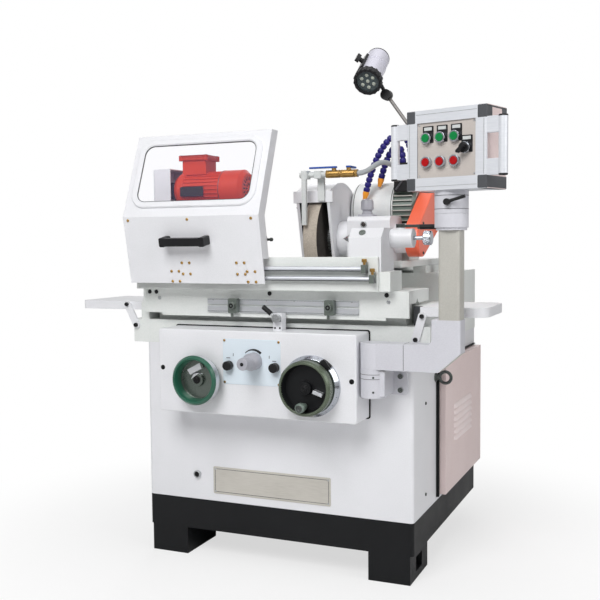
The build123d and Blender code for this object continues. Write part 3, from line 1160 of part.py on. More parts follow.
with BuildPart() as valve_lever_right:
    rod_z(valve_xs[1], PIPE_Y, PIPE_Z + 8, stem_top + GAP + 1, VALVE_STEM_R)
    with BuildSketch(Plane.XY.offset(stem_top + GAP)):
        with Locations((valve_xs[1], PIPE_Y + 22)):
            SlotOverall(64, 16, rotation=90)
    extrude(amount=5)
valve_lever_right.part.label = "valve_lever_right"
export_step(valve_lever_right.part, "parts/valve_lever_right.step")

# Jointed coolant hoses: ribbed tubes that rise from the manifold and bend down to a tapered tip
hose_one = Bezier(
    (MANIFOLD_X1 - 20, manifold_y, manifold_top),
    (MANIFOLD_X1 - 20, manifold_y, manifold_top + 148),
    (MANIFOLD_X1 - 110, manifold_y - 45, manifold_top + 113),
    (MANIFOLD_X1 - 160, manifold_y - 40, manifold_top - 92),
)
hose_two = Bezier(
    (MANIFOLD_X0 + 24, manifold_y, manifold_top),
    (MANIFOLD_X0 + 24, manifold_y, manifold_top + 83),
    (MANIFOLD_X0 - 20, manifold_y, manifold_top + 73),
    (MANIFOLD_X0 - 50, manifold_y, manifold_top - 48),
)
with BuildPart() as coolant_hoses:
    for path, ribs in ((hose_one, 2 * HOSE_RIBS), (hose_two, HOSE_RIBS)):
        for rib in range(ribs):
            for step, radius in ((0.015, HOSE_NECK_R), (0.3, HOSE_R), (0.7, HOSE_R), (0.985, HOSE_NECK_R)):
                place = (rib + step) / ribs
                with BuildSketch(Plane(path @ place, x_dir=(0, 1, 0), z_dir=path % place)):
                    Circle(radius)
            loft(ruled=True)
            for step in (0.01, 0.99):
                place = (rib + step) / ribs
                with BuildSketch(Plane(path @ place, x_dir=(0, 1, 0), z_dir=path % place)):
                    Circle(HOSE_BORE_R)
            loft(ruled=True, mode=Mode.SUBTRACT)
        with BuildSketch(Plane(path @ 1, x_dir=(0, 1, 0), z_dir=path % 1)):
            Circle(HOSE_R)
        with BuildSketch(Plane(path @ 1 + 26 * (path % 1), x_dir=(0, 1, 0), z_dir=path % 1)):
            Circle(HOSE_BORE_R + 1.5)
        loft(ruled=True)
        with BuildSketch(Plane(path @ 1, x_dir=(0, 1, 0), z_dir=path % 1)):
            Circle(HOSE_BORE_R)
        extrude(amount=27, mode=Mode.SUBTRACT)
coolant_hoses.part.label = "coolant_hoses"
export_step(coolant_hoses.part, "parts/coolant_hoses.step")

# Pendant base: bearing post on a plate bolted to the cabinet front
base_top = BASE_Z0 + BASE_H
with BuildPart() as pendant_base:
    rod_z(BASE_X, ARM_Y, BASE_Z0, base_top, BASE_R)
    block(BASE_X, BASE_X + 42, ARM_Y - 22, FRONT, BASE_Z0 + 6, base_top - 4)
    block(BASE_X - 10, BASE_X + 82, FRONT - 14, FRONT, BASE_Z0, base_top - 12)
    fillet(pendant_base.edges().filter_by(Axis.Y).sort_by(Axis.X)[-2:], 6)
    rod_y(BASE_X + 64, FRONT - 22, FRONT - 13, BASE_Z0 + 14, 8)
    rod_y(BASE_X + 64, FRONT - 22, FRONT - 13, base_top - 28, 8)
    rod_z(BASE_X, ARM_Y, BASE_Z0 + 12, base_top + 1, BASE_PIN_R + RUN, mode=Mode.SUBTRACT)
pendant_base.part.label = "pendant_base"
export_step(pendant_base.part, "parts/pendant_base.step")

# Pendant arm: pin, hub, horizontal box arm and upturned elbow
arm_z0 = base_top + GAP
arm_top = arm_z0 + ARM_H
elbow_top = arm_top + ELBOW_RISE
with BuildPart() as pendant_arm:
    with BuildSketch(Plane.XZ.offset(-ARM_Y)):
        with BuildLine():
            Polyline((BASE_X, arm_z0), (ELBOW_X1 - 62, arm_z0), (ELBOW_X1, arm_z0 + 54), (ELBOW_X1, elbow_top),
                     (ELBOW_X1 - ELBOW_W, elbow_top), (ELBOW_X1 - ELBOW_W, arm_top + 10),
                     (ELBOW_X1 - ELBOW_W - 10, arm_top), (BASE_X, arm_top), close=True)
        make_face()
    extrude(amount=ARM_W / 2, both=True)
    rod_z(BASE_X, ARM_Y, arm_z0, arm_top, BASE_R)
    rod_z(BASE_X, ARM_Y, BASE_Z0 + 14, arm_z0 + 1, BASE_PIN_R)
    fillet(pendant_arm.edges().filter_by(Axis.Z).sort_by(Axis.X)[-2:], 6)
pendant_arm.part.label = "pendant_arm"
export_step(pendant_arm.part, "parts/pendant_arm.step")

# Pendant pole: square tube on the elbow
pole_top = elbow_top + POLE_H
with BuildPart() as pendant_pole:
    with BuildSketch(Plane.XY.offset(elbow_top)):
        with Locations((POLE_X, ARM_Y)):
            RectangleRounded(POLE_W, POLE_W, 8)
            RectangleRounded(POLE_W - 2 * POLE_WALL, POLE_W - 2 * POLE_WALL, 4, mode=Mode.SUBTRACT)
    extrude(amount=POLE_H)
pendant_pole.part.label = "pendant_pole"
export_step(pendant_pole.part, "parts/pendant_pole.step")

# Pendant joint: collar on the pole with the spigot that the box turns on
joint_top = pole_top + JOINT_H
box_z0 = joint_top + GAP + NECK_H
with BuildPart() as pendant_joint:
    rod_z(POLE_X, ARM_Y, pole_top, pole_top + 8, JOINT_R - 4)
    rod_z(POLE_X, ARM_Y, pole_top + 7, joint_top, JOINT_R)
    rod_z(POLE_X, ARM_Y, joint_top - 1, joint_top + NECK_H - 12, SPIGOT_R)
pendant_joint.part.label = "pendant_joint"
export_step(pendant_joint.part, "parts/pendant_joint.step")

# Pendant box: framed case with a sunk panel, bezels, side handles and a neck that turns on the spigot
yaw = math.radians(BOX_YAW)
box_x = (math.cos(yaw), -math.sin(yaw), 0)
box_n = (-math.sin(yaw), -math.cos(yaw), 0)
box_mid = POLE_X + BOX_SHIFT
box_base = Plane((box_mid, ARM_Y, box_z0), x_dir=box_x, z_dir=(0, 0, 1))
panel_out = BOX_D / 2 - PANEL_SINK
panel_plane = Plane(
    (box_mid + box_n[0] * panel_out, ARM_Y + box_n[1] * panel_out, box_z0 + BOX_H / 2),
    x_dir=box_x,
    z_dir=box_n,
)
handle_u = BOX_W / 2 + SIDE_HANDLE_OUT
clamp_z = joint_top + GAP + 30
with BuildPart() as pendant_box:
    with BuildSketch(box_base):
        RectangleRounded(BOX_W, BOX_D, 5)
    extrude(amount=BOX_H)
    with BuildSketch(box_base.offset(BOX_WALL)):
        with Locations((0, PANEL_SINK / 2)):
            Rectangle(BOX_W - 2 * BOX_WALL, BOX_D - 2 * BOX_WALL - PANEL_SINK)
    extrude(amount=BOX_H - 2 * BOX_WALL, mode=Mode.SUBTRACT)
    with BuildSketch(panel_plane):
        Rectangle(BOX_W - 2 * FRAME_W, BOX_H - 2 * FRAME_H)
    extrude(amount=PANEL_SINK + 1, mode=Mode.SUBTRACT)
    with BuildSketch(panel_plane):
        for button_u in BUTTON_U:
            with Locations((button_u, BUTTON_V), (button_u, -BUTTON_V)):
                Circle(BEZEL_R)
        with Locations((SELECTOR_U, 0)):
            Circle(BEZEL_R)
    extrude(amount=BEZEL_H)
    with BuildSketch(panel_plane):
        for button_u in BUTTON_U:
            with Locations((button_u, BUTTON_V), (button_u, -BUTTON_V)):
                Circle(BUTTON_R + GAP)
    extrude(amount=BEZEL_H + 1, mode=Mode.SUBTRACT)
    with BuildSketch(panel_plane.offset(BEZEL_H + 1)):
        for button_u in BUTTON_U:
            with Locations((button_u, BUTTON_V), (button_u, -BUTTON_V)):
                Circle(STEM_R + RUN)
        with Locations((SELECTOR_U, 0)):
            Circle(STEM_R + RUN)
    extrude(amount=-BEZEL_H - BOX_WALL - 3, mode=Mode.SUBTRACT)
    with BuildSketch(box_base.offset((BOX_H - SIDE_HANDLE_H) / 2)):
        with Locations((-handle_u, SIDE_HANDLE_Y), (handle_u, SIDE_HANDLE_Y)):
            Circle(SIDE_HANDLE_R)
    extrude(amount=SIDE_HANDLE_H)
    for arm_low in ((BOX_H - SIDE_HANDLE_H) / 2, (BOX_H + SIDE_HANDLE_H) / 2 - 42):
        with BuildSketch(box_base.offset(arm_low)):
            for side in (-1, 1):
                with Locations((side * (BOX_W / 2 + SIDE_HANDLE_OUT / 2 - 1), SIDE_HANDLE_Y)):
                    Rectangle(SIDE_HANDLE_OUT + 2, 14)
        extrude(amount=42)
    rod_z(POLE_X, ARM_Y, joint_top + GAP, box_z0 + 1, JOINT_R)
    rod_z(POLE_X, ARM_Y, joint_top, box_z0 - 8, SPIGOT_R + RUN, mode=Mode.SUBTRACT)
    rod_y(POLE_X, ARM_Y - JOINT_R - 1, ARM_Y - SPIGOT_R - 8, clamp_z, TAIL_PIN_R + RUN, mode=Mode.SUBTRACT)
pendant_box.part.label = "pendant_box"
export_step(pendant_box.part, "parts/pendant_box.step")

# Clamp lever on the front of the neck
with BuildPart() as clamp_lever:
    rod_y(POLE_X, ARM_Y - JOINT_R - 14, ARM_Y - JOINT_R - GAP, clamp_z, 9)
    rod_y(POLE_X, ARM_Y - JOINT_R - 1, ARM_Y - SPIGOT_R - 9, clamp_z, TAIL_PIN_R)
    with BuildSketch(Plane((POLE_X, ARM_Y - JOINT_R - 8, clamp_z), z_dir=(1, -0.1, 0.28))):
        Circle(4.5)
    extrude(amount=52)
clamp_lever.part.label = "clamp_lever"
export_step(clamp_lever.part, "parts/clamp_lever.step")

# Push buttons: cap and stem, three in each row
with BuildPart() as green_button_1:
    with BuildSketch(panel_plane.offset(6)):
        with Locations((BUTTON_U[0], BUTTON_V)):
            Circle(BUTTON_R)
    extrude(amount=BEZEL_H - 4)
    with BuildSketch(panel_plane.offset(7)):
        with Locations((BUTTON_U[0], BUTTON_V)):
            Circle(STEM_R)
    extrude(amount=-24)
green_button_1.part.label = "green_button_1"
export_step(green_button_1.part, "parts/green_button_1.step")

with BuildPart() as green_button_2:
    with BuildSketch(panel_plane.offset(6)):
        with Locations((BUTTON_U[1], BUTTON_V)):
            Circle(BUTTON_R)
    extrude(amount=BEZEL_H - 4)
    with BuildSketch(panel_plane.offset(7)):
        with Locations((BUTTON_U[1], BUTTON_V)):
            Circle(STEM_R)
    extrude(amount=-24)
green_button_2.part.label = "green_button_2"
export_step(green_button_2.part, "parts/green_button_2.step")

with BuildPart() as green_button_3:
    with BuildSketch(panel_plane.offset(6)):
        with Locations((BUTTON_U[2], BUTTON_V)):
            Circle(BUTTON_R)
    extrude(amount=BEZEL_H - 4)
    with BuildSketch(panel_plane.offset(7)):
        with Locations((BUTTON_U[2], BUTTON_V)):
            Circle(STEM_R)
    extrude(amount=-24)
green_button_3.part.label = "green_button_3"
export_step(green_button_3.part, "parts/green_button_3.step")

with BuildPart() as red_button_1:
    with BuildSketch(panel_plane.offset(6)):
        with Locations((BUTTON_U[0], -BUTTON_V)):
            Circle(BUTTON_R)
    extrude(amount=BEZEL_H - 4)
    with BuildSketch(panel_plane.offset(7)):
        with Locations((BUTTON_U[0], -BUTTON_V)):
            Circle(STEM_R)
    extrude(amount=-24)
red_button_1.part.label = "red_button_1"
export_step(red_button_1.part, "parts/red_button_1.step")

with BuildPart() as red_button_2:
    with BuildSketch(panel_plane.offset(6)):
        with Locations((BUTTON_U[1], -BUTTON_V)):
            Circle(BUTTON_R)
    extrude(amount=BEZEL_H - 4)
    with BuildSketch(panel_plane.offset(7)):
        with Locations((BUTTON_U[1], -BUTTON_V)):
            Circle(STEM_R)
    extrude(amount=-24)
red_button_2.part.label = "red_button_2"
export_step(red_button_2.part, "parts/red_button_2.step")

with BuildPart() as red_button_3:
    with BuildSketch(panel_plane.offset(6)):
        with Locations((BUTTON_U[2], -BUTTON_V)):
            Circle(BUTTON_R)
    extrude(amount=BEZEL_H - 4)
    with BuildSketch(panel_plane.offset(7)):
        with Locations((BUTTON_U[2], -BUTTON_V)):
            Circle(STEM_R)
    extrude(amount=-24)
red_button_3.part.label = "red_button_3"
export_step(red_button_3.part, "parts/red_button_3.step")

# Selector switch: disc with a handle bar and a stem through the panel
with BuildPart() as selector:
    with BuildSketch(panel_plane.offset(BEZEL_H + GAP)):
        with Locations((SELECTOR_U, 0)):
            Circle(BEZEL_R - 2)
    extrude(amount=6)
    with BuildSketch(panel_plane.offset(BEZEL_H + GAP + 5)):
        with Locations((SELECTOR_U - 3, -3)):
            SlotOverall(32, 9, rotation=40)
    extrude(amount=12)
    with BuildSketch(panel_plane.offset(BEZEL_H + 1)):
        with Locations((SELECTOR_U, 0)):
            Circle(STEM_R)
    extrude(amount=-BEZEL_H - 18)
selector.part.label = "selector"
export_step(selector.part, "parts/selector.step")

# Lamp post: upright turning in the bed socket, with an eye at the top
with BuildPart() as lamp_post:
    rod_z(LAMP_X, LAMP_Y, REAR_TOP + 2, LAMP_ELBOW_Z - 10, LAMP_POST_R)
    rod_y(LAMP_X, LAMP_Y - LAMP_POST_R, LAMP_Y + LAMP_POST_R, LAMP_ELBOW_Z, LAMP_EYE_R)
    rod_y(LAMP_X, LAMP_Y - 2 * LAMP_POST_R, LAMP_Y + 2 * LAMP_POST_R, LAMP_ELBOW_Z, LAMP_PIN_R + RUN,
          mode=Mode.SUBTRACT)
lamp_post.part.label = "lamp_post"
export_step(lamp_post.part, "parts/lamp_post.step")

# Lamp arm: slanted bar with an eye at each end and a pin in the post eye
arm_plane_y = LAMP_Y - LAMP_POST_R - LAMP_EYE_T / 2 - GAP
arm_dx = LAMP_TIP_X - LAMP_X
arm_dz = LAMP_TIP_Z - LAMP_ELBOW_Z
arm_len = math.hypot(arm_dx, arm_dz)
with BuildPart() as lamp_arm:
    with BuildSketch(Plane((LAMP_X, arm_plane_y, LAMP_ELBOW_Z), z_dir=(arm_dx, 0, arm_dz))):
        Circle(LAMP_ARM_R)
    extrude(amount=arm_len)
    for eye_x, eye_z in ((LAMP_X, LAMP_ELBOW_Z), (LAMP_TIP_X, LAMP_TIP_Z)):
        rod_y(eye_x, arm_plane_y - LAMP_EYE_T / 2, arm_plane_y + LAMP_EYE_T / 2, eye_z, LAMP_EYE_R)
    rod_y(LAMP_X, arm_plane_y, LAMP_Y + LAMP_POST_R, LAMP_ELBOW_Z, LAMP_PIN_R)
    rod_y(LAMP_TIP_X, arm_plane_y - LAMP_EYE_T, arm_plane_y + LAMP_EYE_T, LAMP_TIP_Z, LAMP_PIN_R + RUN,
          mode=Mode.SUBTRACT)
lamp_arm.part.label = "lamp_arm"
export_step(lamp_arm.part, "parts/lamp_arm.step")

# Lamp head: barrel with a front ring, a bracket to the arm eye, a side rail and a wing knob
head_plane_y = arm_plane_y - LAMP_EYE_T - GAP
head_eye = Vector(LAMP_TIP_X, head_plane_y, LAMP_TIP_Z)
head_c = head_eye + Vector(LAMP_HEAD)
head_dir = Vector(0.036, -0.795, -0.606).normalized()
knob_dir = Vector(-0.66, -0.28, 0.69)
knob_dir = (knob_dir - head_dir * knob_dir.dot(head_dir)).normalized()
with BuildPart() as lamp_head:
    with BuildSketch(Plane(head_c - head_dir * LAMP_BODY_L * 0.55, z_dir=head_dir)):
        Circle(LAMP_BODY_R)
    extrude(amount=LAMP_BODY_L)
    with BuildSketch(Plane(head_c + head_dir * LAMP_BODY_L * 0.45, z_dir=head_dir)):
        Circle(LAMP_RING_R)
    extrude(amount=LAMP_RING_L)
    with BuildSketch(Plane(head_c + head_dir * (LAMP_BODY_L * 0.45 + LAMP_RING_L), z_dir=head_dir)):
        Circle(LAMP_RING_R - 8)
    extrude(amount=-8, mode=Mode.SUBTRACT)
    with BuildSketch(Plane(head_eye, z_dir=LAMP_HEAD)):
        Circle(LAMP_EYE_T / 2 - 0.5)
    extrude(amount=90)
    rod_y(LAMP_TIP_X, head_plane_y - LAMP_EYE_T / 2, head_plane_y + LAMP_EYE_T / 2, LAMP_TIP_Z, LAMP_EYE_R)
    rod_y(LAMP_TIP_X, head_plane_y, arm_plane_y + LAMP_EYE_T / 2, LAMP_TIP_Z, LAMP_PIN_R)
    with BuildSketch(Plane(head_c + knob_dir * 34, x_dir=head_dir, z_dir=knob_dir)):
        Rectangle(84, 24)
    extrude(amount=12)
    with BuildSketch(Plane(head_c + knob_dir * 44, z_dir=knob_dir)):
        Circle(8)
    extrude(amount=16)
    with BuildSketch(Plane(head_c + knob_dir * 58, x_dir=head_dir, z_dir=knob_dir)):
        SlotOverall(44, 14)
    extrude(amount=13)
lamp_head.part.label = "lamp_head"
export_step(lamp_head.part, "parts/lamp_head.step")
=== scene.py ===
import logging
import math
from dataclasses import dataclass
from enum import Enum
from functools import cache
from typing import Callable, Optional, Sequence

import bmesh
import bpy
from mathutils import Matrix, Vector


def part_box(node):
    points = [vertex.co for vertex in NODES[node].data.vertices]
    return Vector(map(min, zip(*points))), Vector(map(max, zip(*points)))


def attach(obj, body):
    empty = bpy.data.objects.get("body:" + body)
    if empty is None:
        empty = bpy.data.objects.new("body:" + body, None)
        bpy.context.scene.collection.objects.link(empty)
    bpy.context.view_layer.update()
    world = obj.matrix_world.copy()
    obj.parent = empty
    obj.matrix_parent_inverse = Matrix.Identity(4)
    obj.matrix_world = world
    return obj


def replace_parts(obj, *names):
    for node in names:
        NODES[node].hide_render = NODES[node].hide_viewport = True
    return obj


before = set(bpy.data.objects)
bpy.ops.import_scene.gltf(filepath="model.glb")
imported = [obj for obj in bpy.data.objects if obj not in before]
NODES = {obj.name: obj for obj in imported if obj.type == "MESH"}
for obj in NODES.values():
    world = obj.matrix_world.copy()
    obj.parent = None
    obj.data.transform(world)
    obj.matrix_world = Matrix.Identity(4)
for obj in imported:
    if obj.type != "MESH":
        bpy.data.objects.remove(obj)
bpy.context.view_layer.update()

MM = 0.001
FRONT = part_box("plinth")[0].y / MM
APRON = FRONT - 114.0
X_AXIS = Vector((1.0, 0.0, 0.0))
Y_AXIS = Vector((0.0, 1.0, 0.0))
Z_AXIS = Vector((0.0, 0.0, 1.0))

Quad = tuple[float, float, float, float]
Triple = tuple[float, float, float]
Pair = tuple[float, float]
Spot = tuple[Triple, Triple]
Rule = Callable[[Vector, Vector], int]

# Directions that screws and plugs point in
AHEAD: Triple = (0.0, -1.0, 0.0)
RIGHT: Triple = (1.0, 0.0, 0.0)
LEFT: Triple = (-1.0, 0.0, 0.0)
UP: Triple = (0.0, 0.0, 1.0)

# Colour of the background's light
BRIGHT: Quad = (1.0, 1.0, 1.0, 1.0)

# Edges sharper than these stay crisp, on new pieces and on the solids
CRISP_PIECE = math.radians(32.0)
CRISP_SOLID = math.radians(28.0)
# Points closer than these are merged, in millimetres on new pieces and in metres on the solids
MERGE_PIECE = 0.002
MERGE_SOLID = 1e-6
# Radius of the edges that the finishes round, in metres, and roughness of a clear coat
EDGE_ROUND = 0.0014
COAT_ROUGH = 0.12

log = logging.getLogger("grinder")


def srgb(code: int) -> Quad:
    """Turns a screen colour into the linear colour a shader takes.

    Args:
        code: Red, green and blue as one hexadecimal number.

    Returns:
        The linear colour with full opacity.
    """
    levels = [(code >> shift & 0xFF) / 255.0 for shift in (16, 8, 0)]
    linear = [v / 12.92 if v <= 0.04045 else ((v + 0.055) / 1.055) ** 2.4 for v in levels]
    return (*linear, 1.0)


def add(
    tree: bpy.types.NodeTree, kind: str, inputs: Optional[dict] = None, **settings: object
) -> bpy.types.Node:
    """Adds one node, sets it up and joins its inputs.

    Args:
        tree: The tree that gets the node.
        kind: The node's type name.
        inputs: Input sockets by name or number, each a value or another node's output.
        **settings: The node's own properties.

    Returns:
        The new node.
    """
    node = tree.nodes.new(kind)
    for name, value in settings.items():
        setattr(node, name, value)
    for key, value in (inputs or {}).items():
        if isinstance(value, bpy.types.NodeSocket):
            tree.links.new(value, node.inputs[key])
        else:
            node.inputs[key].default_value = value
    return node


class Grain(Enum):
    """The small-scale surface of a finish."""

    PEEL = "sprayed enamel"
    CAST = "painted casting"
    BRUSHED = "long fine scratches"
    TURNED = "fine machining"
    MOULDED = "moulded plastic or rubber"
    GRIT = "bonded abrasive"


@dataclass(frozen=True)
class GrainSize:
    """How coarse a grain is.

    Attributes:
        scale: Noise scale in cycles per metre.
        detail: Octaves of the noise.
        depth: Height of the bump in metres.
    """

    scale: float
    detail: float
    depth: float


GRAINS = {
    Grain.PEEL: GrainSize(340.0, 2.0, 0.0003),
    Grain.CAST: GrainSize(210.0, 4.0, 0.0006),
    Grain.BRUSHED: GrainSize(26.0, 6.0, 0.0002),
    Grain.TURNED: GrainSize(900.0, 3.0, 0.0001),
    Grain.MOULDED: GrainSize(700.0, 3.0, 0.0003),
    Grain.GRIT: GrainSize(520.0, 1.0, 0.0011),
}


@dataclass(frozen=True)
class Finish:
    """One procedural surface finish.

    Attributes:
        name: Name of the material.
        slot: Material slot of the record that the finish belongs to; not used.
        colour: Main colour as one hexadecimal number, like the other colours here.
        shade: Colour of the cloudy patches.
        grain: Small-scale surface.
        rough: Mean roughness.
        spread: Variation of the roughness either way.
        metal: Metallic share.
        bump: Strength of the bump; edges aren't rounded without it.
        wear: Colour that shows along worn edges.
        coat: Weight of the clear coat.
        cover: Share of light that the surface stops; less than 1 for a clear sheet.
        shine: Level of the surface reflection.
        stretch: Stretch of the grain along X, Y and Z.
    """

    name: str
    slot: str
    colour: int
    shade: int
    grain: Grain = Grain.PEEL
    rough: float = 0.4
    spread: float = 0.06
    metal: float = 0.0
    bump: float = 0.12
    wear: Optional[int] = None
    coat: float = 0.0
    cover: float = 1.0
    shine: float = 0.5
    stretch: Triple = (1.0, 1.0, 1.0)

    @cache
    def material(self) -> bpy.types.Material:
        """Builds the material on first use.

        Returns:
            The material, the same one on every call.
        """
        made = bpy.data.materials.new(f"{self.name}_finish")
        made.use_nodes = True
        made.diffuse_color = srgb(self.colour)
        tree = made.node_tree
        shader = tree.nodes["Principled BSDF"]
        place = add(tree, "ShaderNodeTexCoord").outputs["Object"]
        patches = {"Vector": place, "Scale": 7.0, "Detail": 5.0}
        cloud = add(tree, "ShaderNodeTexNoise", patches).outputs[0]
        fine = self._grain(tree, place)
        blend = add(tree, "ShaderNodeMath", {0: cloud, 1: fine}, operation="MULTIPLY").outputs[0]
        share = self._ramp(tree, blend, 0.12, 0.42)
        tint = self._mix(tree, share, srgb(self.colour), srgb(self.shade))
        soft = add(tree, "ShaderNodeBevel", {"Radius": EDGE_ROUND}, samples=4).outputs[0]
        if self.wear is not None:
            tint = self._mix(tree, self._edges(tree, soft, fine), tint, srgb(self.wear))
        ramp = {"Value": blend, "From Min": 0.1, "From Max": 0.45}
        ramp.update({"To Min": self.rough - self.spread, "To Max": self.rough + self.spread})
        rough = add(tree, "ShaderNodeMapRange", ramp).outputs[0]
        if self.bump:
            relief = {"Strength": self.bump, "Distance": GRAINS[self.grain].depth}
            relief.update({"Height": fine, "Normal": soft})
            tree.links.new(add(tree, "ShaderNodeBump", relief).outputs[0], shader.inputs["Normal"])
        tree.links.new(tint, shader.inputs["Base Color"])
        tree.links.new(rough, shader.inputs["Roughness"])
        shader.inputs["Metallic"].default_value = self.metal
        shader.inputs["Coat Weight"].default_value = self.coat
        shader.inputs["Coat Roughness"].default_value = COAT_ROUGH
        shader.inputs["Alpha"].default_value = self.cover
        shader.inputs["Specular IOR Level"].default_value = self.shine
        return made

    def _grain(self, tree: bpy.types.NodeTree, place: bpy.types.NodeSocket) -> bpy.types.NodeSocket:
        """Builds the small-scale pattern.

        Args:
            tree: The material's tree.
            place: The object's own coordinates.

        Returns:
            The pattern's height.
        """
        size = GRAINS[self.grain]
        if self.grain is Grain.GRIT:
            cells = {"Vector": place, "Scale": size.scale}
            return add(tree, "ShaderNodeTexVoronoi", cells).outputs["Distance"]
        drawn = add(tree, "ShaderNodeMapping", {"Vector": place, "Scale": self.stretch}).outputs[0]
        inputs = {"Vector": drawn, "Scale": size.scale, "Detail": size.detail, "Roughness": 0.55}
        return add(tree, "ShaderNodeTexNoise", inputs).outputs[0]

    @staticmethod
    def _ramp(
        tree: bpy.types.NodeTree, value: object, low: float, high: float
    ) -> bpy.types.NodeSocket:
        """Spreads a range of a value over 0 to 1."""
        inputs = {"Value": value, "From Min": low, "From Max": high}
        return add(tree, "ShaderNodeMapRange", inputs).outputs[0]

    @staticmethod
    def _mix(
        tree: bpy.types.NodeTree, share: object, first: object, second: object
    ) -> bpy.types.NodeSocket:
        """Mixes a share of the second colour into the first."""
        inputs = {0: share, 6: first, 7: second}
        return add(tree, "ShaderNodeMix", inputs, data_type="RGBA").outputs[2]

    @classmethod
    def _edges(cls, tree: bpy.types.NodeTree, soft: object, fine: object) -> bpy.types.NodeSocket:
        """Finds the edges where paint is rubbed.

        Args:
            tree: The material's tree.
            soft: Normal rounded over the edges.
            fine: Small-scale pattern that breaks up the rub.

        Returns:
            The share of wear.
        """
        true = add(tree, "ShaderNodeNewGeometry").outputs["True Normal"]
        agree = add(tree, "ShaderNodeVectorMath", {0: soft, 1: true}, operation="DOT_PRODUCT")
        rub = cls._ramp(tree, agree.outputs["Value"], 0.98, 0.8)
        torn = cls._ramp(tree, fine, 0.45, 0.62)
        return add(tree, "ShaderNodeMath", {0: rub, 1: torn}, operation="MULTIPLY").outputs[0]


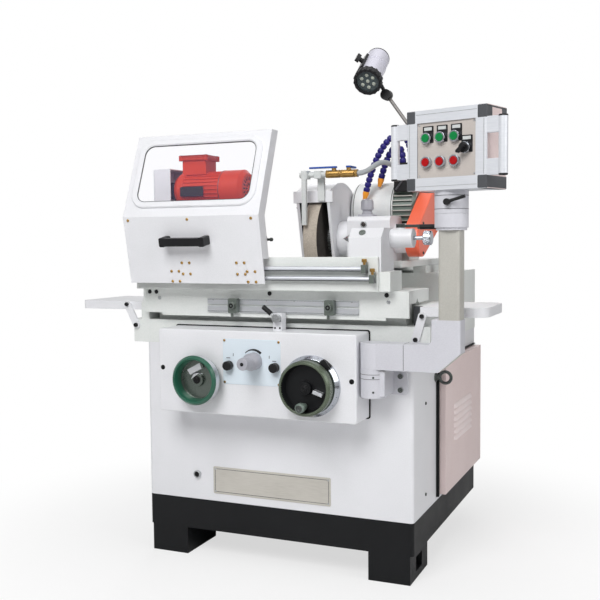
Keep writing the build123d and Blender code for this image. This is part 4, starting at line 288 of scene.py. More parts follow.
class Paint:
    """Every finish in use."""

    WHITE = Finish(
        "white_enamel", "white_paint", 0xEAEAEE, 0xE3E4E7, rough=0.42, coat=0.15, wear=0xCECFD0,
    )
    ARM = Finish(
        "arm_enamel", "white_paint", 0xD3D3DA, 0xCBCBD2, rough=0.42, coat=0.15, wear=0xE4E4E8,
    )
    CASTING = Finish(
        "white_casting", "bed_iron", 0xE7E9E7, 0xDEE2DF, Grain.CAST, rough=0.46, bump=0.18,
        wear=0xC8CAC7,
    )
    # Pink painted light: the warm cast that light gives side faces, on the door and the pendant
    # box's sides
    SIDE_LIGHT_TINT = Finish("door_painted_side_tint", "white_paint", 0xEEDBD9, 0xE7D3D1, rough=0.44, wear=0xCFC1BF)
    # Louvres are brighter and pinker than the door: painted highlight on their upturned faces and
    # painted side tint
    LOUVRE_HIGHLIGHT = Finish("louvre_painted_highlight", "white_paint", 0xFCEFEE, 0xF9EAE9, rough=0.5, wear=0xFCF6F6)
    # Also the painted shade inside the wheel guard
    BLACK = Finish(
        "black_enamel", "black_paint", 0x121315, 0x1A1B1D, rough=0.48, spread=0.1, wear=0x3A3B3C,
        shine=0.2,
    )
    MOTOR_WHITE = Finish(
        "white_motor_enamel", "white_motor", 0xE6E8E8, 0xDDE0E0, Grain.CAST, rough=0.44,
        wear=0xC4C6C5,
    )
    RED = Finish(
        "red_motor_enamel", "red_motor", 0xDC441E, 0xCA3A18, Grain.CAST, rough=0.42, shine=0.35,
        wear=0xDE6E56,
    )
    ORANGE = Finish(
        "orange_enamel", "orange_guard", 0xFF7452, 0xF66848, rough=0.36, coat=0.2, wear=0xFF9E82,
    )
    STEEL = Finish(
        "ground_steel", "ground_steel", 0xC4C6C8, 0xAAADAF, Grain.BRUSHED, rough=0.3, spread=0.08,
        metal=1.0, bump=0.1, stretch=(1.0, 14.0, 14.0),
    )
    DARK_STEEL = Finish(
        "dark_steel", "ground_steel", 0x5C605E, 0x424644, Grain.TURNED, rough=0.38, spread=0.08,
        metal=0.9, wear=0xAAACAC,
    )
    DOG = Finish(
        "dog_steel", "ground_steel", 0x848C86, 0x6A726C, Grain.TURNED, rough=0.36, spread=0.08,
        metal=0.85, wear=0xBCBEBC,
    )
    CHROME = Finish(
        "chrome", "dial_chrome", 0xBEC2CA, 0xACB0B8, Grain.TURNED, rough=0.14, spread=0.05,
        metal=1.0, bump=0.03,
    )
    ROD = Finish(
        "chrome_rod", "ground_steel", 0xCED1D6, 0xC4C7CD, Grain.TURNED, rough=0.46, spread=0.02,
        metal=0.7, bump=0.0,
    )
    RIM_GREEN = Finish(
        "green_rim", "handwheel_green", 0x22604A, 0x184E3C, Grain.MOULDED, rough=0.34, coat=0.25,
        wear=0x60927E,
    )
    RIM_OLIVE = Finish(
        "olive_rim", "handwheel_green", 0x626C5C, 0x505A4A, Grain.TURNED, rough=0.3, metal=0.35,
        wear=0x969E92,
    )
    DISH = Finish(
        "wheel_dish", "ground_steel", 0x767E78, 0x58615B, Grain.TURNED, rough=0.3, spread=0.1,
        metal=0.9, wear=0xBEC2BF,
    )
    BLACK_PLASTIC = Finish(
        "black_plastic", "black_plastic", 0x151517, 0x1F1F21, Grain.MOULDED, rough=0.42,
        spread=0.08, wear=0x323234, shine=0.25,
    )
    RUBBER = Finish(
        "black_rubber", "black_plastic", 0x0E0E0F, 0x161617, Grain.MOULDED, rough=0.7, spread=0.08,
        bump=0.2, shine=0.2,
    )
    GREY_PLASTIC = Finish(
        "grey_plastic", "grey_plastic", 0xA4A7A8, 0x949798, Grain.MOULDED, wear=0xC4C6C7,
    )
    KNOB = Finish(
        "knob_grey", "grey_plastic", 0xB0B0B8, 0x9E9EA6, Grain.MOULDED, rough=0.34, wear=0xDEDEE2,
    )
    # Also painted shade: the recess by the bed's right stay and the undersides of the guide rods
    CAP_GREY = Finish(
        "corner_plastic", "grey_plastic", 0x4E5054, 0x424448, Grain.MOULDED, rough=0.46,
        wear=0x74767A,
    )
    # Also the painted shade in the grooves between the wheel motor's fins
    GRIP_GREY = Finish(
        "grip_grey", "grey_plastic", 0x707E76, 0x5E6C64, Grain.MOULDED, rough=0.36, wear=0x9CA6A0,
    )
    PULLEY = Finish(
        "pulley_iron", "pulley_iron", 0x626466, 0x4A4C4E, Grain.TURNED, spread=0.08, metal=0.9,
        wear=0xB0B2B2,
    )
    BELT = Finish(
        "belt_rubber", "belt_rubber", 0x161616, 0x242322, Grain.MOULDED, rough=0.75, spread=0.08,
        bump=0.3,
    )
    PANE = Finish(
        "window_pane", "window_pane", 0xCEC8FC, 0xC8C2F8, Grain.MOULDED, rough=0.06, spread=0.02,
        bump=0.01, cover=0.03, shine=0.1,
    )
    GRIT = Finish("wheel_grit", "wheel_grit", 0xCEC4B6, 0xAAA094, Grain.GRIT, rough=0.9, bump=0.6)
    # The wheel's flat sides are dark brown as painted shade under the guard
    WHEEL_SIDE_SHADE = Finish(
        "wheel_side_painted_shade", "wheel_grit", 0x403A36, 0x302B28, Grain.GRIT, rough=0.9, bump=0.5,
    )
    BRASS = Finish(
        "brass", "coolant_metal", 0xBC985C, 0xA07C46, Grain.TURNED, rough=0.28, spread=0.08,
        metal=1.0, wear=0xD6B880,
    )
    NOZZLE = Finish("nozzle_grey", "coolant_metal", 0xD6D9D8, 0xC8CCCB, wear=0xAAADAD)
    HOSE_GREY = Finish(
        "hose_grey", "coolant_metal", 0xB0B4B6, 0x989DA0, Grain.MOULDED, rough=0.5, bump=0.25,
    )
    VALVE_BLUE = Finish(
        "valve_blue", "valve_blue", 0x2254B2, 0x1A4496, Grain.MOULDED, rough=0.38, coat=0.1,
        wear=0x608ACC,
    )
    HOSE_BLUE = Finish(
        "hose_blue", "hose_blue", 0x261E76, 0x1E1760, Grain.MOULDED, rough=0.36, wear=0x464092,
        shine=0.3,
    )
    TIP_ORANGE = Finish(
        "tip_orange", "hose_blue", 0xFAA42C, 0xEC9222, Grain.MOULDED, rough=0.36, coat=0.1,
        wear=0xFFC878,
    )
    # Also the painted shade on the downward faces of the pendant arm
    POLE = Finish("pole_grey", "pole_grey", 0xBCBAB3, 0xB0AEA7, rough=0.44, wear=0xCECCC6)
    ALUMINIUM = Finish(
        "case_aluminium", "case_aluminium", 0xE2E4E9, 0xD6D9DF, Grain.BRUSHED, rough=0.38,
        metal=0.25, bump=0.06, stretch=(1.0, 1.0, 16.0), wear=0xECEEF1,
    )
    PANEL = Finish("panel_beige", "case_aluminium", 0xC7BFB9, 0xBEB6B0, rough=0.5, wear=0xD8D2CD)
    SILVER_PLATE = Finish(
        "silver_plate", "ground_steel", 0xD6D8DC, 0xC6C9CE, Grain.BRUSHED, rough=0.34, metal=0.7,
        bump=0.06, stretch=(1.0, 14.0, 14.0),
    )
    NAME_PLATE = Finish(
        "name_plate_metal", "ground_steel", 0xCECAC2, 0xC0BCB4, Grain.BRUSHED, metal=0.3, bump=0.06,
        stretch=(1.0, 14.0, 14.0),
    )
    DARK_PLATE = Finish(
        "dark_plate", "ground_steel", 0x423C3A, 0x302C2B, Grain.BRUSHED, rough=0.36, metal=0.5,
        bump=0.06, stretch=(1.0, 14.0, 14.0), wear=0x8C8682,
    )
    FEED_PLATE = Finish(
        "feed_plate", "case_aluminium", 0xE2ECF4, 0xD9E5EE, Grain.MOULDED, rough=0.32,
        wear=0xB4C4CC,
    )
    INK = Finish("ink", "black_plastic", 0x18181C, 0x26262A, Grain.MOULDED, rough=0.5, bump=0.05)
    BUTTON_GREEN = Finish(
        "button_green", "button_green", 0x0A8644, 0x08783C, Grain.MOULDED, rough=0.34, shine=0.25,
    )
    BUTTON_RED = Finish(
        "button_red", "button_red", 0xB61016, 0xA00C12, Grain.MOULDED, rough=0.34, shine=0.25,
    )
    LAMP_STEEL = Finish(
        "lamp_steel", "lamp_steel", 0x8E8B89, 0x7A7775, Grain.TURNED, rough=0.48, metal=0.5,
        bump=0.0,
    )
    LAMP_BLACK = Finish(
        "lamp_black", "lamp_steel", 0x1A1A1C, 0x242426, Grain.MOULDED, rough=0.42, wear=0x404042,
        shine=0.3,
    )
    LAMP_SILVER = Finish(
        "lamp_silver", "lamp_aluminium", 0xE2E1EC, 0xD4D3E0, Grain.TURNED, spread=0.05, metal=0.4,
        bump=0.0,
    )
    LENS = Finish(
        "lens_grey", "lamp_aluminium", 0x424E50, 0x364244, Grain.MOULDED, rough=0.24, spread=0.05,
        coat=0.2,
    )
    LED = Finish(
        "led_cream", "lamp_aluminium", 0xC0C6BC, 0xB0B6A8, Grain.MOULDED, rough=0.3, spread=0.05,
    )


def dress(node: str, finishes: Sequence[Finish], rule: Optional[Rule] = None) -> None:
    """Gives a solid its finishes, one for each zone.

    Args:
        node: Name of the solid.
        finishes: Finishes of the zones.
        rule: Picks the zone from a face's centre in millimetres and its normal; without it, all
            faces are zone 0.
    """
    solid = NODES[node]
    mesh = solid.data
    mesh.materials.clear()
    for finish in finishes:
        mesh.materials.append(finish.material())
    for face in mesh.polygons:
        face.material_index = rule(face.center / MM, face.normal) if rule else 0
    solid.modifiers.new("soft_faces", "NODES").node_group = Trees.soft()
    log.info("%s: %s", node, ", ".join(finish.name for finish in finishes))


def show(name: str, mesh: bpy.types.Mesh, finish: Finish, body: str) -> bpy.types.Object:
    """Puts a finished mesh in the scene as one piece.

    Args:
        name: Name of the piece.
        mesh: Its mesh, in metres and in place.
        finish: Its finish.
        body: The moving body it belongs to.

    Returns:
        The piece.
    """
    mesh.materials.clear()
    mesh.materials.append(finish.material())
    mesh.shade_smooth()
    mesh.set_sharp_from_angle(angle=CRISP_PIECE)
    piece = bpy.data.objects.new(name, mesh)
    bpy.context.scene.collection.objects.link(piece)
    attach(piece, body)
    log.info("%s: %d faces, %s, on %s", name, len(mesh.polygons), finish.name, body)
    return piece


def facing(origin: Sequence[float], across: Vector, upward: Vector) -> Matrix:
    """Makes a place on a face, with local Z pointing out of it.

    Args:
        origin: Point on the face in millimetres.
        across: Direction of local X.
        upward: Direction of local Y.

    Returns:
        The place.
    """
    out = across.cross(upward)
    place = Matrix((across, upward, out)).transposed().to_4x4()
    place.translation = Vector(origin)
    return place


def on_front(x: float, y: float, z: float) -> Matrix:
    """Makes a place on a face that looks to the front."""
    return facing((x, y, z), X_AXIS, Z_AXIS)


def along(start: Vector, axis: Vector) -> Matrix:
    """Makes a place whose local Z runs along an axis.

    Args:
        start: Origin in millimetres.
        axis: Direction of local Z.

    Returns:
        The place.
    """
    place = axis.to_track_quat("Z", "Y").to_matrix().to_4x4()
    place.translation = start
    return place


def rounded(
    width: float, height: float, radius: float, level: float, steps: int = 5
) -> list[Vector]:
    """Draws a rectangle with round corners.

    Args:
        width: Size along X.
        height: Size along Y.
        radius: Corner radius.
        level: Height along Z.
        steps: Points in each corner.

    Returns:
        The outline's points, anticlockwise.
    """
    radius = max(min(radius, width / 2.0 - 0.01, height / 2.0 - 0.01), 0.05)
    points = []
    for corner, (sx, sy) in enumerate(((1, 1), (-1, 1), (-1, -1), (1, -1))):
        for step in range(steps):
            angle = math.radians(90.0 * corner + 90.0 * step / (steps - 1))
            x = sx * (width / 2.0 - radius) + radius * math.cos(angle)
            y = sy * (height / 2.0 - radius) + radius * math.sin(angle)
            points.append(Vector((x, y, level)))
    return points


def bezier(points: Sequence[Triple], count: int) -> list[Vector]:
    """Samples a cubic curve.

    Args:
        points: Its four control points.
        count: Number of samples.

    Returns:
        The samples in order.
    """
    a, b, c, d = (Vector(point) for point in points)
    samples = []
    for step in range(count):
        t = step / (count - 1)
        s = 1.0 - t
        samples.append(a * s**3 + b * 3 * s * s * t + c * 3 * s * t * t + d * t**3)
    return samples


class Shape:
    """One piece's mesh in the making, in millimetres."""

    def __init__(self) -> None:
        """Starts an empty mesh."""
        self.mesh = bmesh.new()

    def loft(
        self, rings: Sequence[Sequence[Vector]], place: Matrix = Matrix(), closed: bool = False
    ) -> "Shape":
        """Joins equal outlines in order.

        Args:
            rings: The outlines.
            place: Where they go.
            closed: Whether the last outline joins the first; otherwise both ends are capped.

        Returns:
            This shape.
        """
        rows = [[self.mesh.verts.new(place @ point) for point in ring] for ring in rings]
        pairs = list(zip(rows, rows[1:])) + ([(rows[-1], rows[0])] if closed else [])
        for low, high in pairs:
            for first, a in enumerate(low):
                second = (first + 1) % len(low)
                self.mesh.faces.new((a, low[second], high[second], high[first]))
        if not closed:
            self.mesh.faces.new(tuple(reversed(rows[0])))
            self.mesh.faces.new(rows[-1])
        return self

    def turn(
        self, profile: Sequence[Pair], place: Matrix, sides: int = 40, closed: bool = False
    ) -> "Shape":
        """Turns a profile about local Z.

        Args:
            profile: Radius and height of each corner.
            place: Where the axis goes.
            sides: Number of sides.
            closed: Whether the profile is a closed ring.

        Returns:
            This shape.
        """
        angles = [math.tau * side / sides for side in range(sides)]
        rings = []
        for radius, height in profile:
            spokes = [(radius * math.cos(a), radius * math.sin(a)) for a in angles]
            rings.append([Vector((x, y, height)) for x, y in spokes])
        return self.loft(rings, place, closed)

    def rod(
        self, start: Sequence[float], end: Sequence[float], radius: float, soft: float = 0.8
    ) -> "Shape":
        """Adds a round bar with softened ends.

        Args:
            start: Centre of one end.
            end: Centre of the other end.
            radius: Radius.
            soft: Size of the softened edge.

        Returns:
            This shape.
        """
        axis = Vector(end) - Vector(start)
        return self.band((radius - soft, radius), axis.length, soft, along(Vector(start), axis), 40)

    def band(
        self, radii: Pair, width: float, soft: float, place: Matrix, sides: int = 64
    ) -> "Shape":
        """Adds a round band with sloped edges.

        Args:
            radii: Radius at its edges and on its top.
            width: Its width.
            soft: Width of each sloped edge.
            place: Where it starts, its axis along local Z.
            sides: Number of sides.

        Returns:
            This shape.
        """
        edge, top = radii
        profile = ((edge, 0.0), (top, soft), (top, width - soft), (edge, width))
        return self.turn(profile, place, sides)

    def plate(
        self, width: float, height: float, thick: float, place: Matrix, radius: float = 2.0
    ) -> "Shape":
        """Adds a plate that stands on a face, with a softened top edge.

        Args:
            width: Size along local X.
            height: Size along local Y.
            thick: Thickness.
            place: Centre of its back.
            radius: Corner radius.

        Returns:
            This shape.
        """
        soft = min(0.35 * thick, 1.2)
        rings = [
            rounded(width, height, radius, 0.0),
            rounded(width, height, radius, thick - soft),
            rounded(width - 2 * soft, height - 2 * soft, radius - soft, thick),
        ]
        return self.loft(rings, place)

    def hoop(
        self, size: Pair, rim: float, thick: float, place: Matrix, radius: float, soft: float
    ) -> "Shape":
        """Adds a frame round an opening.

        Args:
            size: Width and height of the opening.
            rim: Width of the rim.
            thick: Thickness.
            place: Centre of its back.
            radius: Corner radius of the opening.
            soft: Size of its softened edges.

        Returns:
            This shape.
        """
        outside = ((rim, 0.0), (rim, thick - soft), (rim - soft, thick))
        inside = ((soft, thick), (0.0, thick - soft), (0.0, 0.0))
        rings = []
        for grow, level in outside + inside:
            width, height = size[0] + 2 * grow, size[1] + 2 * grow
            rings.append(rounded(width, height, radius + grow, level, 9))
        return self.loft(rings, place, True)

    def sweep(self, path: Sequence[Vector], radius: float, sides: int) -> "Shape":
        """Runs a round section along a loop.

        Args:
            path: The loop's points.
            radius: Radius of the section.
            sides: Sides of the section.

        Returns:
            This shape.
        """
        angles = [math.tau * step / sides for step in range(sides)]
        rings = []
        side = (path[1] - path[-1]).orthogonal()
        for number, point in enumerate(path):
            ahead = (path[(number + 1) % len(path)] - path[number - 1]).normalized()
            side = (side - ahead * side.dot(ahead)).normalized()
            other = ahead.cross(side)
            spokes = [side * math.cos(a) + other * math.sin(a) for a in angles]
            rings.append([point + spoke * radius for spoke in spokes])
        return self.loft(rings, Matrix(), True)

    def data(self, name: str) -> bpy.types.Mesh:
        """Turns the shape into a mesh in metres.

        Args:
            name: Name of the mesh.

        Returns:
            The mesh, with its doubles merged and its faces outward.
        """
        bmesh.ops.remove_doubles(self.mesh, verts=self.mesh.verts, dist=MERGE_PIECE)
        bmesh.ops.scale(self.mesh, vec=(MM, MM, MM), verts=self.mesh.verts)
        bmesh.ops.recalc_face_normals(self.mesh, faces=self.mesh.faces)
        mesh = bpy.data.meshes.new(name)
        self.mesh.to_mesh(mesh)
        self.mesh.free()
        return mesh

    def piece(self, name: str, finish: Finish, body: str) -> bpy.types.Object:
        """Puts the shape in the scene as one piece of a moving body."""
        return show(name, self.data(name), finish, body)


class Trees:
    """Geometry Nodes trees, each built once and grown into plain meshes."""

    @staticmethod
    def _new(name: str, sockets: dict[str, str]) -> tuple[bpy.types.NodeTree, bpy.types.Node]:
        """Starts a tree.

        Args:
            name: Name of the tree.
            sockets: Kind of each named input.

        Returns:
            The tree and its input node.
        """
        tree = bpy.data.node_groups.new(name, "GeometryNodeTree")
        tree.interface.new_socket("Geometry", in_out="INPUT", socket_type="NodeSocketGeometry")
        for title, kind in sockets.items():
            tree.interface.new_socket(title, in_out="INPUT", socket_type=f"NodeSocket{kind}")
        tree.interface.new_socket("Geometry", in_out="OUTPUT", socket_type="NodeSocketGeometry")
        return tree, tree.nodes.new("NodeGroupInput")

    @staticmethod
    def _end(
        tree: bpy.types.NodeTree, points: object, turned: object, given: bpy.types.Node
    ) -> bpy.types.NodeTree:
        """Places the item on points, makes it real and gives it its material.

        Args:
            tree: The tree.
            points: The points.
            turned: Rotation at each point.
            given: The tree's input node.

        Returns:
            The finished tree.
        """
        item = add(tree, "GeometryNodeObjectInfo", {"Object": given.outputs["Item"]})
        inputs = {"Points": points, "Instance": item.outputs["Geometry"], "Rotation": turned}
        placed = add(tree, "GeometryNodeInstanceOnPoints", inputs).outputs[0]
        real = add(tree, "GeometryNodeRealizeInstances", {0: placed}).outputs[0]
        done = {"Geometry": real, "Material": given.outputs["Material"]}
        add(tree, "NodeGroupOutput", {0: add(tree, "GeometryNodeSetMaterial", done).outputs[0]})
        return tree

    @classmethod
    @cache
    def soft(cls) -> bpy.types.NodeTree:
        """Joins a solid's faces and smooths the shading over its gentle edges.

        Returns:
            The tree.
        """
        tree, given = cls._new("soft_faces", {})
        inputs = {"Geometry": given.outputs[0], "Distance": MERGE_SOLID}
        welded = add(tree, "GeometryNodeMergeByDistance", inputs).outputs[0]
        inputs = {0: add(tree, "GeometryNodeInputMeshEdgeAngle").outputs[0], 1: CRISP_SOLID}
        gentle = add(tree, "FunctionNodeCompare", inputs, operation="LESS_THAN").outputs[0]
        inputs = {"Geometry": welded, "Shade Smooth": True}
        faces = add(tree, "GeometryNodeSetShadeSmooth", inputs).outputs[0]
        inputs = {"Geometry": faces, "Shade Smooth": gentle}
        edges = add(tree, "GeometryNodeSetShadeSmooth", inputs, domain="EDGE").outputs[0]
        add(tree, "NodeGroupOutput", {0: edges})
        return tree

    @classmethod
    @cache
    def ring(cls) -> bpy.types.NodeTree:
        """Repeats an item round local Z.

        Returns:
            The tree.
        """
        sockets = {"Item": "Object", "Material": "Material", "Count": "Int"}
        sockets |= {"Radius": "Float", "Start": "Float", "Step": "Float"}
        tree, given = cls._new("ring", sockets)
        out = given.outputs
        index = add(tree, "GeometryNodeInputIndex").outputs[0]
        angle = {0: index, 1: out["Step"], 2: out["Start"]}
        turn = add(tree, "ShaderNodeMath", angle, operation="MULTIPLY_ADD").outputs[0]
        spin = add(tree, "ShaderNodeCombineXYZ", {"Z": turn}).outputs[0]
        spoke = add(tree, "ShaderNodeCombineXYZ", {"X": out["Radius"]}).outputs[0]
        inputs = {"Vector": spoke, "Rotation": spin}
        place = add(tree, "ShaderNodeVectorRotate", inputs, rotation_type="EULER_XYZ").outputs[0]
        cloud = {"Count": out["Count"], "Position": place}
        points = add(tree, "GeometryNodePoints", cloud).outputs[0]
        turned = add(tree, "FunctionNodeEulerToRotation", {0: spin}).outputs[0]
        return cls._end(tree, points, turned, given)

    @classmethod
    @cache
    def spots(cls) -> bpy.types.NodeTree:
        """Puts an item on each vertex, with its Z along the vertex's axis.

        Returns:
            The tree.
        """
        tree, given = cls._new("spots", {"Item": "Object", "Material": "Material"})
        kind = "GeometryNodeInputNamedAttribute"
        axis = add(tree, kind, {"Name": "axis"}, data_type="FLOAT_VECTOR").outputs[0]
        align = "FunctionNodeAlignRotationToVector"
        turned = add(tree, align, {"Vector": axis}, axis="Z").outputs[0]
        return cls._end(tree, given.outputs[0], turned, given)

    @classmethod
    @cache
    def beads(cls) -> bpy.types.NodeTree:
        """Strings an item along a path at even steps.

        Returns:
            The tree.
        """
        tree, given = cls._new("beads", {"Item": "Object", "Count": "Int", "Material": "Material"})
        path = add(tree, "GeometryNodeMeshToCurve", {0: given.outputs[0]}).outputs[0]
        inputs = {"Curve": path, "Count": given.outputs["Count"]}
        dots = add(tree, "GeometryNodeCurveToPoints", inputs, mode="COUNT")
        inputs = {"Vector": dots.outputs["Tangent"]}
        turned = add(tree, "FunctionNodeAlignRotationToVector", inputs, axis="Z").outputs[0]
        return cls._end(tree, dots.outputs["Points"], turned, given)

    @staticmethod
    def grow(
        tree: bpy.types.NodeTree, item: Shape, finish: Finish,
        carrier: Optional[bpy.types.Mesh] = None, **values: object
    ) -> bpy.types.Mesh:
        """Runs a tree and keeps its result as a plain mesh.

        Args:
            tree: The tree.
            item: The shape it repeats.
            finish: Finish of the result.
            carrier: Mesh the tree starts from.
            **values: The other named inputs.

        Returns:
            The mesh, in metres.
        """
        source = bpy.data.objects.new("item", item.data("item"))
        bpy.context.scene.collection.objects.link(source)
        holder = bpy.data.objects.new("holder", carrier or bpy.data.meshes.new("holder"))
        bpy.context.scene.collection.objects.link(holder)
        grown = holder.modifiers.new("grown", "NODES")
        grown.node_group = tree
        given = {"Item": source, "Material": finish.material(), **values}
        for socket in tree.interface.items_tree:
            if socket.in_out == "INPUT" and socket.name in given:
                grown[socket.identifier] = given[socket.name]
        live = holder.evaluated_get(bpy.context.evaluated_depsgraph_get())
        mesh = bpy.data.meshes.new_from_object(live)
        holder.modifiers.remove(grown)
        bpy.data.objects.remove(holder)
        bpy.data.objects.remove(source)
        return mesh

    @classmethod
    def circle(
        cls, name: str, item: Shape, count: int, radius: float, place: Matrix, finish: Finish,
        body: str, start: float = 0.0
    ) -> bpy.types.Object:
        """Builds a piece of items round a circle.

        Args:
            name: Name of the piece.
            item: The item, with local X pointing outward.
            count: Number of items.
            radius: Radius of the circle in millimetres.
            place: Place of the circle in millimetres, its axis along local Z.
            finish: Finish of the items.
            body: The moving body.
            start: Angle of the first item in degrees.

        Returns:
            The piece.
        """
        angles = {"Start": math.radians(start), "Step": math.tau / count}
        mesh = cls.grow(cls.ring(), item, finish, Count=count, Radius=radius * MM, **angles)
        place = place.copy()
        place.translation *= MM
        mesh.transform(place)
        return show(name, mesh, finish, body)

    @classmethod
    def scatter(
        cls, name: str, item: Shape, spots: Sequence[Spot], finish: Finish, body: str
    ) -> bpy.types.Object:
        """Builds a piece of items on given spots.

        Args:
            name: Name of the piece.
            item: The item, standing on local Z.
            spots: Place in millimetres and axis of each item.
            finish: Finish of the items.
            body: The moving body.

        Returns:
            The piece.
        """
        carrier = bpy.data.meshes.new("spots")
        carrier.from_pydata([Vector(place) * MM for place, _ in spots], [], [])
        axes = carrier.attributes.new("axis", "FLOAT_VECTOR", "POINT")
        axes.data.foreach_set("vector", [value for _, axis in spots for value in axis])
        return show(name, cls.grow(cls.spots(), item, finish, carrier), finish, body)

    @classmethod
    def string(
        cls, item: Shape, path: Sequence[Vector], count: int, finish: Finish
    ) -> bpy.types.Mesh:
        """Strings items along a path.

        Args:
            item: The item, centred on local Z.
            path: Points of the path in millimetres.
            count: Number of items.
            finish: Finish of the items.

        Returns:
            The mesh, in metres.
        """
        carrier = bpy.data.meshes.new("path")
        edges = [(step, step + 1) for step in range(len(path) - 1)]
        carrier.from_pydata([point * MM for point in path], edges, [])
        return cls.grow(cls.beads(), item, finish, carrier, Count=count)


class Head(Enum):
    """Kinds of screw head."""

    SOCKET = "socket"
    DOME = "dome"
    SLOT = "slot"


def screw(head: Head, radius: float, height: float) -> Shape:
    """Builds one screw head that stands on local Z.

    Args:
        head: Its kind.
        radius: Its radius.
        height: Its height.

    Returns:
        The shape.
    """
    sides = 18
    foot = -0.3
    shape = Shape()
    soft = min(0.3 * height, 0.8)
    outer = [(radius, foot), (radius, height - soft), (radius - soft, height)]
    if head is Head.DOME:
        crown = [(0.8 * radius, 0.75 * height), (0.4 * radius, height)]
        return shape.turn([(radius, foot), (radius, 0.25 * height), *crown], Matrix(), sides)
    if head is Head.SLOT:
        for side in (1.0, -1.0):
            wedge = []
            for step in range(9):
                angle = math.radians(8.0 + 164.0 * step / 8.0) * side
                wedge.append((math.cos(angle), math.sin(angle)))
            shape.loft([[Vector((r * x, r * y, level)) for x, y in wedge] for r, level in outer])
        floor = radius - 0.2
        return shape.turn([(floor, foot), (floor, 0.35 * height)], Matrix(), sides)
    angles = [math.tau * side / sides for side in range(sides)]
    rings = []
    for size, level in outer:
        rings.append([Vector((size * math.cos(a), size * math.sin(a), level)) for a in angles])
    for level in (height, 0.35 * height):
        hexagon = []
        for angle in angles:
            reach = 0.5 * radius / math.cos((angle % (math.pi / 3.0)) - math.pi / 6.0)
            hexagon.append(Vector((reach * math.cos(angle), reach * math.sin(angle), level)))
        rings.append(hexagon)
    return shape.loft(rings)


def toward(axis: Triple, *places: Triple) -> list[Spot]:
    """Pairs each place with the one axis that its screw points along."""
    return [(place, axis) for place in places]


